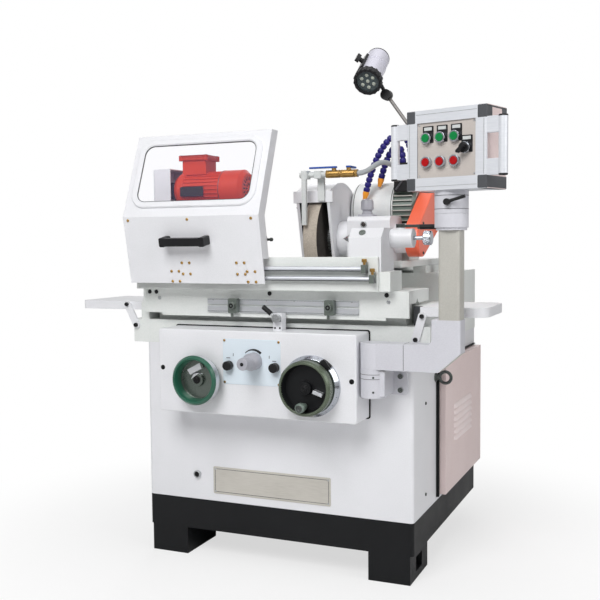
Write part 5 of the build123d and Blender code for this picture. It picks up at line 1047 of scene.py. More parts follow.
@dataclass
class Base:
    """Plinth, cabinet, door, bed, drip trays and their fittings.

    Attributes:
        side: Half width of the cabinet.
        plate: Left, right, bottom and top of the bare name plate.
        drain: Place of the drain plug across and up.
        eye: Depth and height of the lifting eye.
        ring: Reach, radius and bar radius of the lifting eye's ring.
        apron: Left, right, bottom and top of the apron box.
        door: Front and back depth, bottom and top of the door.
        louvres: Middle depth, middle height, length, pitch and number of the door's louvres.
        skin: Place of the door's outside across.
        inset: Distance of the name plate's rivets and line from its edges.
        plugs: Place of the apron's plugs across and up.
        bracket: Place of the lever bracket's screws across and up.
        stays: Place of the tray stays' screws across and up.
    """

    side: float = 450.0
    plate: Quad = (-211.0, 192.0, 210.0, 298.0)
    drain: Pair = (-268.0, 268.0)
    eye: Pair = (FRONT + 249.0, 584.0)
    ring: Triple = (32.0, 18.0, 5.0)
    apron: Quad = (-335.0, 316.0, 491.0, 748.0)
    door: Quad = (FRONT + 270.0, FRONT + 794.0, 205.0, 628.0)
    louvres: tuple[float, float, float, float, int] = (FRONT + 503.0, 414.0, 235.0, 21.0, 6)
    skin: float = 478.0
    inset: float = 8.0
    plugs: tuple[Pair, ...] = ((-321.0, 627.0), (302.0, 614.0))
    bracket: tuple[Pair, ...] = ((43.5, 792.0), (60.5, 778.0), (44.0, 756.0), (60.0, 756.0))
    stays: tuple[Pair, ...] = ((-488.0, 745.0), (-522.0, 812.0), (458.0, 728.0), (477.0, 796.0))

    def dress(self) -> None:
        """Gives the fixed solids their finishes."""
        dress("plinth", [Paint.BLACK])
        dress("cabinet", [Paint.WHITE])
        dress("bed", [Paint.CASTING, Paint.STEEL, Paint.CAP_GREY], self._bed_zone)
        dress("apron_box", [Paint.WHITE])
        # The door takes the pink painted tint of side light
        dress("electrical_door", [Paint.SIDE_LIGHT_TINT])
        trays = [Paint.WHITE, Paint.BLACK_PLASTIC]
        dress("drip_trays", trays, lambda p, n: int(p.y < FRONT - 6.05))

    @staticmethod
    def _bed_zone(point: Vector, normal: Vector) -> int:
        """Tells apart the casting, its ground ways and the painted shade in the recess by the right
        stay.

        Args:
            point: Centre of a face.
            normal: Its normal.

        Returns:
            Zone of the face.
        """
        # Front face of the recess by the right stay: dark grey painted shade
        if point.x > 439.0 and point.z > 766.0 and normal.y < -0.9 and point.y < FRONT + 45.0:
            return 2
        return int(point.z > 929.5)

    def build(self) -> None:
        """Adds the plate, plug, eye, seals and screws."""
        left, right, low, high = self.plate
        place = on_front((left + right) / 2.0, FRONT, (low + high) / 2.0)
        plate = Shape().plate(right - left, high - low, 1.4, place, 5.0)
        plate.piece("name_plate", Paint.NAME_PLATE, "frame")
        inner = (right - left - 2.0 * self.inset, high - low - 2.0 * self.inset)
        line = Shape().hoop(inner, 1.6, 1.7, place, 4.0, 0.3)
        line.piece("name_plate_line", Paint.DARK_STEEL, "frame")
        corners = []
        for x in (left + self.inset, right - self.inset):
            corners += [(x, FRONT - 1.2, z) for z in (low + self.inset, high - self.inset)]
        rivet = screw(Head.DOME, 3.2, 1.8)
        Trees.scatter("name_plate_rivets", rivet, toward(AHEAD, *corners), Paint.STEEL, "frame")
        self._plug()
        self._eye()
        self._seals()
        self._louvres()
        self._screws()

    def _plug(self) -> None:
        """Adds the drain plug: a bright ring round a dark socket."""
        place = on_front(self.drain[0], FRONT, self.drain[1])
        ring = [(8.6, 0.0), (12.0, 0.0), (12.0, 8.0), (10.8, 9.2), (9.2, 9.2), (8.6, 8.0)]
        Shape().turn(ring, place, closed=True).piece("drain_plug", Paint.STEEL, "frame")
        socket = [(8.7, 0.0), (8.7, 5.0), (4.2, 5.0), (3.6, 2.0)]
        Shape().turn(socket, place).piece("drain_socket", Paint.BLACK_PLASTIC, "frame")

    def _eye(self) -> None:
        """Adds the lifting eye on the right side, beside the door."""
        depth, height = self.eye
        base = Vector((self.side, depth, height))
        foot = [(15.0, 0.0), (15.0, 3.0), (12.5, 5.0), (9.0, 7.0), (7.5, 12.0)]
        eye = Shape().turn(foot, along(base, X_AXIS))
        reach, radius, bar = self.ring
        count = 36
        loop = []
        for step in range(count):
            angle = math.tau * step / count
            spoke = X_AXIS * math.cos(angle) + Z_AXIS * math.sin(angle)
            loop.append(base + X_AXIS * reach + spoke * radius)
        eye.sweep(loop, bar, 14).piece("lifting_eye", Paint.DARK_STEEL, "frame")

    def _seals(self) -> None:
        """Adds the black seals behind the apron and round the door."""
        left, right, low, high = self.apron
        place = on_front((left + right) / 2.0, FRONT, (low + high) / 2.0)
        seal = Shape().hoop((right - left - 1.0, high - low - 1.0), 4.0, 4.0, place, 4.0, 0.8)
        seal.piece("apron_seal", Paint.RUBBER, "frame")
        front, back, low, high = self.door
        strip = facing((self.side, front - 8.0, (low + high) / 2.0), Y_AXIS, Z_AXIS)
        seals = Shape().plate(10.0, high - low + 14.0, 9.0, strip, 2.0)
        strip = facing((self.side, (front + back) / 2.0, high + 5.0), Y_AXIS, Z_AXIS)
        seals.plate(back - front, 4.0, 8.0, strip, 1.0)
        seals.piece("door_seal", Paint.RUBBER, "frame")

    def _louvres(self) -> None:
        """Adds a pressed hood over each slot of the door, lighter than the door as a painted
        highlight.
        """
        depth, height, length, pitch, count = self.louvres
        hood = Shape()
        rings = []
        ends = ((-0.5, 0.6), (-0.48, 4.4), (-0.46, 7.0), (0.46, 7.0), (0.48, 4.4), (0.5, 0.6))
        for share, lift in ends:
            y = share * (length + 12.0)
            slope = ((-11.0, 0.0), (-8.0, 0.45 * lift), (-2.0, 0.85 * lift), (3.5, lift))
            section = (*slope, (3.5, lift - 0.5), (3.2, 0.0))
            rings.append([Vector((x, y, z)) for x, z in section])
        hood.loft(rings)
        levels = [height + (row - (count - 1) / 2.0) * pitch for row in range(count)]
        spots = toward(RIGHT, *((self.skin, depth, z) for z in levels))
        Trees.scatter("door_louvres", hood, spots, Paint.LOUVRE_HIGHLIGHT, "door")

    def _screws(self) -> None:
        """Adds the screws of the fixed solids."""
        spots = toward(AHEAD, *((x, APRON, z) for x, z in self.plugs))
        Trees.scatter("apron_plugs", screw(Head.DOME, 7.5, 2.6), spots, Paint.RUBBER, "frame")
        spots = toward(AHEAD, *((x, FRONT - 70.0, z) for x, z in self.bracket))
        small = screw(Head.SOCKET, 3.0, 2.2)
        Trees.scatter("bracket_screws", small, spots, Paint.BLACK_PLASTIC, "frame")
        spots = toward(RIGHT, *((self.side, FRONT + 132.0, z) for z in (520.0, 240.0)))
        Trees.scatter("side_screws", screw(Head.SOCKET, 5.0, 3.0), spots, Paint.DARK_STEEL, "frame")
        spots = toward(AHEAD, *((x, FRONT - 12.0, z) for x, z in self.stays))
        large = screw(Head.SOCKET, 6.2, 1.6)
        Trees.scatter("stay_screws", large, spots, Paint.BLACK_PLASTIC, "frame")


@dataclass
class Apron:
    """Handwheels, dial, feed plate and knobs on the apron.

    Attributes:
        traverse: Centre of the traverse handwheel across and up.
        infeed: Centre of the infeed handwheel across and up.
        knob: Centre of the feed knob across and up.
        plate: Left, right, bottom and top of the feed plate.
        thick: Thickness of the feed plate.
        ink: Thickness of the marks printed on it.
        marks: Radius of the infeed dial's graduations.
        clamp: Place of the dial's clamp across and up, and its radius.
        handle: Place of the traverse handwheel's folded handle across and up.
        bar: Place of the infeed handwheel's bar across and up.
        grip: Place of the infeed grip's end across and up.
    """

    traverse: Pair = (-181.0, 600.0)
    infeed: Pair = (178.0, 595.0)
    knob: Pair = (-4.0, 660.0)
    plate: Quad = (-109.0, 81.0, 587.0, 724.0)
    thick: float = 1.4
    ink: float = 0.35
    marks: float = 84.0
    clamp: Triple = (226.0, 659.0, 18.5)
    handle: Pair = (-185.0, 633.0)
    bar: Pair = (218.0, 583.0)
    grip: Pair = (174.0, 543.0)

    def dress(self) -> None:
        """Gives the controls their finishes."""
        x, z, radius = self.clamp
        dial = [Paint.CHROME, Paint.BLACK_PLASTIC]
        dress("infeed_dial", dial, lambda p, n: int(math.hypot(p.x - x, p.z - z) < radius))
        traverse = [Paint.RIM_GREEN, Paint.DISH, Paint.SILVER_PLATE]
        dress("traverse_handwheel", traverse, self._traverse_zone)
        infeed = [Paint.RIM_OLIVE, Paint.BLACK, Paint.SILVER_PLATE]
        dress("infeed_handwheel", infeed, self._infeed_zone)
        dress("infeed_grip", [Paint.GRIP_GREY])
        dress("feed_knob", [Paint.KNOB])
        dress("throttle_left", [Paint.BLACK_PLASTIC])
        dress("throttle_right", [Paint.BLACK_PLASTIC])
        reach = Vector((-0.76, -0.1, 0.64))
        start = Vector((36.0, FRONT - 79.0, 798.5))
        lever = [Paint.STEEL, Paint.BLACK_PLASTIC]
        dress("reversing_lever", lever, lambda p, n: int((p - start).dot(reach) > -0.5))

    def _traverse_zone(self, point: Vector, normal: Vector) -> int:
        """Tells the rim, dish and handle of the traverse handwheel apart.

        Args:
            point: Centre of a face.
            normal: Its normal.

        Returns:
            Zone of the face.
        """
        reach = math.hypot(point.x - self.traverse[0], point.z - self.traverse[1])
        if reach > 73.5 and abs(normal.y) < 0.3:
            return 2
        if reach > 57.5:
            return 0
        off = math.hypot(point.x - self.handle[0], point.z - self.handle[1])
        return 2 if off < 24.0 and point.y < FRONT - 139.3 else 1

    def _infeed_zone(self, point: Vector, normal: Vector) -> int:
        """Tells the rim, dish and bar of the infeed handwheel apart.

        Args:
            point: Centre of a face.
            normal: Its normal.

        Returns:
            Zone of the face.
        """
        reach = math.hypot(point.x - self.infeed[0], point.z - self.infeed[1])
        if reach > 69.0:
            return 0
        across, up = abs(point.x - self.bar[0]), abs(point.z - self.bar[1])
        return 2 if across < 15.5 and up < 10.5 and point.y < FRONT - 150.3 else 1

    def build(self) -> None:
        """Adds the feed plate, its marks, graduations, hub screws and the feed knob."""
        left, right, low, high = self.plate
        middle = on_front((left + right) / 2.0, APRON, (low + high) / 2.0)
        plate = Shape().plate(right - left, high - low, self.thick, middle, 6.0)
        plate.piece("feed_plate", Paint.FEED_PLATE, "frame")
        inset = 5.5
        corners = []
        for x in (left + inset, right - inset):
            corners += [(x, APRON - 1.3, z) for z in (low + inset, high - inset)]
        spots = toward(AHEAD, *corners)
        Trees.scatter("feed_plate_screws", screw(Head.SLOT, 4.0, 1.8), spots, Paint.BRASS, "frame")
        self._printed()
        self._graduations()
        self._hubs()
        self._feed_knob()

    def _feed_knob(self) -> None:
        """Adds the feed knob: a wide skirt, a slim ribbed grip and a dark dot in its end."""
        x, z = self.knob
        skirt = [(26.0, 0.0), (26.0, 28.0), (25.0, 31.0), (20.0, 37.0), (18.4, 42.0)]
        grip = [(18.0, 79.0), (16.6, 81.5), (15.0, 82.0), (6.0, 82.0)]
        shape = Shape().turn(skirt + grip, on_front(x, APRON - 2.0, z), 56)
        knob = shape.piece("feed_knob_grip", Paint.KNOB, "feed")
        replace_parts(knob, "feed_knob")
        rib = Shape().plate(1.2, 1.6, 30.0, Matrix(), 0.4)
        place = on_front(x, FRONT - 162.0, z)
        Trees.circle("feed_knob_ribs", rib, 28, 17.9, place, Paint.KNOB, "feed")
        end = on_front(x, FRONT - 198.0, z)
        dot = Shape().turn([(5.5, -0.2), (5.5, 0.5), (5.0, 0.8)], end, 28)
        dot.piece("feed_knob_dot", Paint.BLACK_PLASTIC, "feed")

    def _printed(self) -> None:
        """Adds the swelling arc round the feed knob and a dash and tick over each throttle."""
        rings = []
        count = 24
        inner = 33.0
        lift = Z_AXIS * self.ink
        for step in range(count + 1):
            share = step / count
            angle = math.radians(134.0 - 92.0 * share)
            spoke = Vector((math.cos(angle), math.sin(angle), 0.0))
            near, far = spoke * inner, spoke * (inner + 2.0 + 6.0 * share)
            rings.append([near, far, far + lift, near + lift])
        depth = APRON - self.thick
        marks = Shape().loft(rings, on_front(-10.0, depth, 658.0))
        dashes = ((-91.0, 666.0, 13.0, 1.8), (61.0, 662.0, 13.0, 1.8))
        ticks = ((-74.0, 676.0, 1.8, 9.0), (45.0, 673.5, 1.8, 9.0))
        for x, z, width, height in dashes + ticks:
            marks.plate(width, height, self.ink, on_front(x, depth, z), 0.4)
        marks.piece("feed_marks", Paint.INK, "frame")

    def _graduations(self) -> None:
        """Adds the graduations on the dial's sloped rim."""
        slope = Vector((-12.0, 0.0, 9.0)).normalized()
        place = on_front(self.infeed[0], APRON, self.infeed[1])
        seat = facing((0.0, 0.0, 15.5), slope, Y_AXIS)
        for name, size, count in (
            ("dial_short_marks", (6.0, 0.6, 0.25), 100),
            ("dial_long_marks", (12.0, 0.8, 0.3), 20),
        ):
            mark = Shape().plate(*size, seat, 0.2)
            Trees.circle(name, mark, count, self.marks, place, Paint.INK, "frame")

    def _hubs(self) -> None:
        """Adds the screws and washers in the hubs of the handwheels."""
        for name, centre, depth, body in (
            ("traverse_hub", self.traverse, FRONT - 150.0, "traverse_wheel"),
            ("infeed_hub", self.infeed, FRONT - 164.0, "infeed_wheel"),
        ):
            place = on_front(centre[0], depth, centre[1])
            hub = Shape().turn([(12.0, 0.0), (12.0, 1.6), (11.0, 2.4)], place)
            hub.turn([(7.0, 2.0), (7.0, 7.0), (6.0, 8.0), (3.4, 8.0), (3.0, 5.0)], place, 24)
            hub.piece(name, Paint.BLACK_PLASTIC, body)
        place = on_front(self.grip[0], FRONT - 198.0, self.grip[1])
        cap = [(10.0, -0.2), (10.0, 0.8), (8.6, 1.4), (4.0, 1.4), (3.4, 0.4)]
        Shape().turn(cap, place, 28).piece("infeed_grip_screw", Paint.DARK_STEEL, "grip")


@dataclass
class Table:
    """Lower table, stop dogs, swivel table and guide rails.

    Attributes:
        face: Depth of the table's front face.
        rail: Left and right end of the dog rail.
        dogs: Place of each stop dog across, by its body.
        level: Height of the stop dogs' screws.
        start: Left end of the guide rods.
        rods: Right end and height of each guide rod.
        depth: Depth of the guide rods.
        thumbs: Place of the rails' thumb screws across and up.
    """

    face: float = FRONT - 25.0
    rail: Pair = (-206.0, 294.0)
    dogs: tuple[tuple[str, float], ...] = (("dog_left", -109.0), ("dog_right", 209.0))
    level: float = 818.5
    start: float = -422.0
    rods: tuple[Pair, ...] = ((324.0, 933.0), (348.0, 905.0))
    depth: float = FRONT - 85.0
    thumbs: tuple[Pair, ...] = ((331.0, 938.0), (355.0, 911.0))

    def dress(self) -> None:
        """Gives the tables, dogs and rails their finishes."""
        lower = [Paint.CASTING, Paint.SILVER_PLATE]
        dress("lower_table", lower, lambda p, n: int(p.y < self.face - 0.2))
        dress("stop_dog_left", [Paint.DOG])
        dress("stop_dog_right", [Paint.DOG])
        dress("swivel_table", [Paint.CASTING])
        # Rods are dark grey under their bright skins: painted shade along the undersides
        dress("guide_rails", [Paint.CAP_GREY, Paint.DOG], self._rail_zone)

    def _rail_zone(self, point: Vector, normal: Vector) -> int:
        """Tells the rods of the rails from their feet; the rods are dark grey, which shows as
        painted shade along their undersides.

        Args:
            point: Centre of a face.
            normal: Its normal.

        Returns:
            Zone of the face.
        """
        off = min(math.hypot(point.y - self.depth, point.z - z) for _, z in self.rods)
        return int(off > 7.4)

    def build(self) -> None:
        """Adds the dogs' screws, the table's plugs and lines and the rails' thumb screws."""
        for body, x in self.dogs:
            ring = [(7.4, -0.2), (7.4, 0.8), (6.6, 1.2), (3.2, 1.2), (2.8, 0.2)]
            head = Shape().turn(ring, on_front(x, FRONT - 60.0, self.level), 24)
            head.piece(f"{body}_screw", Paint.BLACK_PLASTIC, body)
            rib = Shape().plate(1.2, 1.4, 8.0, Matrix(), 0.3)
            place = on_front(x, FRONT - 51.0, self.level)
            Trees.circle(f"{body}_knurl", rib, 26, 11.0, place, Paint.DOG, body)
        plugs = toward(AHEAD, *((x, self.face, 856.0) for x in (-421.0, -396.0, 6.0, 378.0)))
        plug = screw(Head.DOME, 6.8, 4.0)
        Trees.scatter("table_plugs", plug, plugs, Paint.BLACK_PLASTIC, "table")
        bolts = toward(AHEAD, *((x, self.face, 837.0) for x in (384.0, -384.0)))
        Trees.scatter("table_screws", screw(Head.SOCKET, 6.0, 3.0), bolts, Paint.STEEL, "table")
        skin = self.face - 5.9
        rivets = toward(AHEAD, *((x, skin, 834.0) for x in range(-186, 280, 92)))
        Trees.scatter("rail_rivets", screw(Head.DOME, 2.4, 0.3), rivets, Paint.STEEL, "table")
        left, right = self.rail
        lines = Shape()
        for level in (799.5, 835.5):
            place = on_front((left + right) / 2.0, skin, level)
            lines.plate(right - left, 1.0, 0.3, place, 0.2)
        lines.piece("rail_lines", Paint.DARK_STEEL, "table")
        thumbs = Shape()
        for x, z in self.thumbs:
            for low, high, radius, soft in ((0.0, 22.0, 4.0, 0.8), (14.0, 24.0, 7.5, 1.2)):
                thumbs.rod((x, self.depth, z + low), (x, self.depth, z + high), radius, soft)
        thumbs.piece("rail_thumb_screws", Paint.BRASS, "swivel")
        self._rods()

    def _rods(self) -> None:
        """Adds the bright skin over the upper side of each guide rod; the bare underside stays dark
        grey as painted shade.
        """
        skins = Shape()
        count = 36
        angles = [math.radians(240.0 * step / count - 30.0) for step in range(count + 1)]
        for end, z in self.rods:
            outside = [(7.12, angle) for angle in angles]
            inside = [(6.9, angle) for angle in reversed(angles)]
            section = []
            for radius, angle in outside + inside:
                y = self.depth + radius * math.cos(angle)
                section.append((y, z + radius * math.sin(angle)))
            skins.loft([[Vector((x, y, up)) for y, up in section] for x in (self.start, end)])
        skins.piece("rod_skins", Paint.ROD, "swivel")


@dataclass
class Hood:
    """Splash hood with its window, handle and screws.

    Attributes:
        window: Width and height of the window's opening.
        corner: Corner radius of the opening.
        middle: Middle of the window.
        upward: Direction up the window.
        out: Direction out of the lower panel.
        blocks: Place across and heights of the screws of each bearing block.
        edge: Height of the upper row of screws.
    """

    window: Pair = (395.0, 196.0)
    corner: float = 34.0
    middle: Triple = (-207.5, FRONT - 87.6, 1226.1)
    upward: Triple = (0.0, 0.3639, 0.9315)
    out: Triple = (0.0, -0.981, -0.192)
    blocks: tuple[tuple[float, Pair], ...] = (
        (-235.0, (917.0, 951.0)),
        (-48.0, (917.0, 951.0)),
        (-275.0, (894.0, 925.0)),
        (-15.0, (894.0, 925.0)),
    )
    edge: float = 1082.0

    def dress(self) -> None:
        """Gives the hood its finishes."""
        dress("hood_shell", [Paint.WHITE])
        dress("hood_window", [Paint.PANE])
        dress("hood_handle", [Paint.BLACK_PLASTIC])

    @staticmethod
    def _face(z: float) -> float:
        """Finds the depth of the lower panel's outside at a height."""
        return FRONT - 100.0 - 40.0 * (z - 888.0) / 204.0

    def build(self) -> None:
        """Adds the window's trim and seal and the hood's screws."""
        place = facing(self.middle, X_AXIS, Vector(self.upward).normalized())
        for name, finish, lap, rim, thick, soft in (
            ("window_trim", Paint.WHITE, 3.0, 20.0, 6.5, 3.2),
            ("window_seal", Paint.CAP_GREY, 5.0, 2.6, 3.4, 0.6),
        ):
            size = (self.window[0] - 2.0 * lap, self.window[1] - 2.0 * lap)
            border = Shape().hoop(size, rim, thick, place, self.corner - lap, soft)
            border.piece(name, finish, "hood")
        places = []
        for x, rows in self.blocks:
            for side in (-13.0, 13.0):
                places += [(x + side, self._face(z), z) for z in rows]
        places += [(x, self._face(self.edge), self.edge) for x in (-423.0, -213.0, 1.0)]
        spots = toward(self.out, *places)
        Trees.scatter("hood_screws", screw(Head.DOME, 4.6, 3.0), spots, Paint.BRASS, "hood")


@dataclass
class Workhead:
    """Workhead, its motor, belt drive and spindle nose.

    Attributes:
        axis: Depth and height of the motor's axis.
        box: Left and right of the terminal box.
        lid: Height of the lid's underside.
        span: Depth of the lid's screws from its middle.
        cover: Place of the belt cover's outside across.
    """

    axis: Pair = (FRONT + 30.0, 1178.0)
    box: Pair = (-304.0, -220.0)
    lid: float = 1272.0
    span: float = 36.0
    cover: float = -396.0

    def dress(self) -> None:
        """Gives the workhead its finishes."""
        dress("workhead", [Paint.WHITE])
        dress("workhead_motor", [Paint.RED])
        dress("workhead_belt", [Paint.BELT])
        dress("work_spindle", [Paint.STEEL, Paint.DARK_STEEL], lambda p, n: int(p.x > -57.0))
        dress("work_motor_pulley", [Paint.PULLEY])

    def build(self) -> None:
        """Adds the bare plate, terminal lid, cowl slots and screws."""
        depth, height = self.axis
        plate = Shape().plate(82.0, 30.0, 2.6, on_front(-258.0, depth - 58.5, 1172.0), 3.0)
        plate.piece("motor_plate", Paint.DARK_PLATE, "swivel")
        self._lid()
        # Black plates on the cowl's end stand for its air slots: painted shade of the cowl's inside
        place = facing((-87.0, depth, height), Y_AXIS, Z_AXIS)
        for name, count, radius, size in (
            ("cowl_slots_in", 10, 16.0, 10.0),
            ("cowl_slots_out", 18, 33.0, 13.0),
        ):
            slot = Shape().plate(size, 4.6, 0.4, Matrix(), 2.2)
            Trees.circle(name, slot, count, radius, place, Paint.BLACK_PLASTIC, "swivel")
        place = along(Vector((-166.0, depth, height)), X_AXIS)
        seam = Shape().band((60.1, 60.5), 2.2, 0.2, place)
        seam.piece("cowl_seam", Paint.DARK_STEEL, "swivel")
        places = []
        for y in (FRONT - 22.0, FRONT + 86.0):
            places += [(self.cover, y, z) for z in (960.0, 1100.0, 1230.0)]
        head = screw(Head.SOCKET, 4.0, 2.6)
        spots = toward(LEFT, *places)
        Trees.scatter("belt_cover_screws", head, spots, Paint.DARK_STEEL, "swivel")

    def _lid(self) -> None:
        """Adds the terminal box's lid with a boss and a screw at each corner."""
        depth = self.axis[0]
        left, right = self.box
        corners = []
        for x in (left - 3.0, right + 3.0):
            corners += [(x, depth + y) for y in (-self.span, self.span)]
        place = Matrix.Translation(((left + right) / 2.0, depth, self.lid))
        lid = Shape().plate(right - left + 14.0, 80.0, 12.0, place, 9.0)
        boss = [(7.5, -2.0), (7.5, 13.5), (6.5, 14.5)]
        for x, y in corners:
            lid.turn(boss, Matrix.Translation((x, y, self.lid)), 20)
        lid.piece("terminal_lid", Paint.RED, "swivel")
        spots = toward(UP, *((x, y, self.lid + 14.2) for x, y in corners))
        Trees.scatter("terminal_screws", screw(Head.SLOT, 4.2, 2.0), spots, Paint.STEEL, "swivel")


@dataclass
class Tailstock:
    """Tailstock, its quill, lever and knob.

    Attributes:
        knob: Left end, right end and radius of the knurled knob.
        axis: Depth and height of the quill.
        clamp: Place of the clamp screw.
    """

    knob: Triple = (470.0, 494.0, 20.0)
    axis: Pair = (FRONT + 40.0, 1020.0)
    clamp: Triple = (312.0, FRONT - 45.0, 1036.0)

    def dress(self) -> None:
        """Gives the tailstock its finishes."""
        dress("tailstock_body", [Paint.WHITE])
        dress("tailstock_quill", [Paint.STEEL])
        lever = [Paint.DARK_STEEL, Paint.BLACK_PLASTIC]
        dress("tailstock_lever", lever, lambda p, n: int(p.x > 458.5))
        dress("tailstock_knob", [Paint.CHROME])

    def build(self) -> None:
        """Adds the slotted clamp screw and the knob's knurl."""
        out = Vector((0.0, -1.0, 1.0)).normalized()
        spots = toward(tuple(out), self.clamp)
        head = screw(Head.SLOT, 10.0, 3.6)
        Trees.scatter("tailstock_screw", head, spots, Paint.DOG, "tailstock")
        left, right, radius = self.knob
        rib = Shape().plate(1.2, 1.6, right - left - 4.0, Matrix(), 0.3)
        place = facing((left + 2.0, *self.axis), Y_AXIS, Z_AXIS)
        Trees.circle("knob_knurl", rib, 40, radius, place, Paint.CHROME, "tail_knob")


@dataclass
class Wheelhead:
    """Wheel slide, spindle, wheel guard, motor and belt guard.

    Attributes:
        wheel: Depth and height of the wheel's axis.
        motor: Depth and height of the motor's axis.
        housing: Depth of the spindle housing's front.
        glass: Place of the sight glass across and up.
        cup: Place of the oil cup's foot.
    """

    wheel: Pair = (FRONT + 232.0, 1020.0)
    motor: Pair = (FRONT + 390.0, 1110.0)
    housing: float = FRONT + 160.0
    glass: Pair = (245.0, 1064.0)
    cup: Triple = (243.0, FRONT + 200.0, 1090.0)

    def dress(self) -> None:
        """Gives the wheelhead its finishes."""
        dress("wheel_slide", [Paint.CASTING])
        dress("spindle_housing", [Paint.WHITE])
        # Guard faces that look inward are painted black: painted shade inside the wheel guard
        inside = Vector((101.0, *self.wheel))
        dress("wheel_guard", [Paint.WHITE, Paint.BLACK], lambda p, n: int(n.dot(inside - p) > 0.0))
        dress("wheel_motor", [Paint.MOTOR_WHITE, Paint.POLE, Paint.GRIP_GREY], self._motor_zone)
        dress("wheel_belt", [Paint.BELT])
        dress("belt_guard", [Paint.ORANGE])
        # Flat sides of the wheel take the dark painted shade
        dress("grinding_wheel", [Paint.GRIT, Paint.WHEEL_SIDE_SHADE], lambda p, n: int(abs(n.x) > 0.9))
        dress("wheel_spindle", [Paint.STEEL])
        dress("wheel_motor_pulley", [Paint.PULLEY])

    def _motor_zone(self, point: Vector, normal: Vector) -> int:
        """Tells the motor's plain end, the tops of its fins and the grooves between them apart; the
        grooves are darker as painted shade.

        Args:
            point: Centre of a face.
            normal: Its normal.

        Returns:
            Zone of the face.
        """
        if point.x < 294.5 or abs(normal.x) > 0.9:
            return 0
        reach = math.hypot(point.y - self.motor[0], point.z - self.motor[1])
        # Grooves between the fins get the darker grey as painted shade
        return 1 if reach > 94.0 else 2

    def build(self) -> None:
        """Adds the sight glass, oil cup, motor grooves and screws."""
        place = on_front(self.glass[0], self.housing, self.glass[1])
        ring = [(7.0, -0.5), (10.5, -0.5), (10.5, 3.0), (9.4, 4.6), (7.6, 4.6), (7.0, 3.6)]
        rim = Shape().turn(ring, place, 36, True)
        rim.piece("sight_glass_ring", Paint.STEEL, "wheelhead")
        pane = Shape().turn([(7.2, -0.4), (7.2, 2.0), (5.0, 3.0), (2.0, 3.4)], place, 36)
        pane.piece("sight_glass", Paint.DARK_PLATE, "wheelhead")
        place = Matrix.Translation(self.cup)
        stem = [(17.0, 5.5), (17.0, 11.0), (15.0, 13.0), (15.0, 19.0)]
        bowl = [(20.0, 21.0), (20.0, 46.0), (17.0, 52.0), (7.0, 55.0)]
        cup = Shape().plate(50.0, 44.0, 6.0, place, 5.0).turn(stem + bowl, place, 36)
        cup.piece("oil_cup", Paint.KNOB, "wheelhead")
        grooves = Shape()
        for x in (160.0, 288.0):
            place = along(Vector((x, *self.motor)), X_AXIS)
            grooves.band((94.6, 95.4), 2.9, 0.3, place, 80)
        grooves.piece("motor_grooves", Paint.DARK_STEEL, "wheelhead")
        self._screws()

    def _screws(self) -> None:
        """Adds the screws of the wheel guard, belt guard and spindle housing."""
        guard = []
        for turn in (30.0, 90.0, 150.0):
            angle = math.radians(turn)
            y = self.wheel[0] + 116.0 * math.cos(angle)
            guard.append((35.0, y, 1075.0 + 90.0 * math.sin(angle)))
        belt = []
        for y, z in (self.wheel, self.motor):
            belt += [(415.0, y, z + lift) for lift in (46.0, -46.0)]
        spots = toward(LEFT, *guard) + toward(RIGHT, *belt)
        small = screw(Head.SOCKET, 4.6, 3.0)
        Trees.scatter("guard_screws", small, spots, Paint.DARK_STEEL, "wheelhead")
        spots = toward(AHEAD, *((x, self.housing, 972.0) for x in (206.0, 314.0)))
        large = screw(Head.SOCKET, 6.0, 4.0)
        Trees.scatter("housing_screws", large, spots, Paint.DARK_STEEL, "wheelhead")


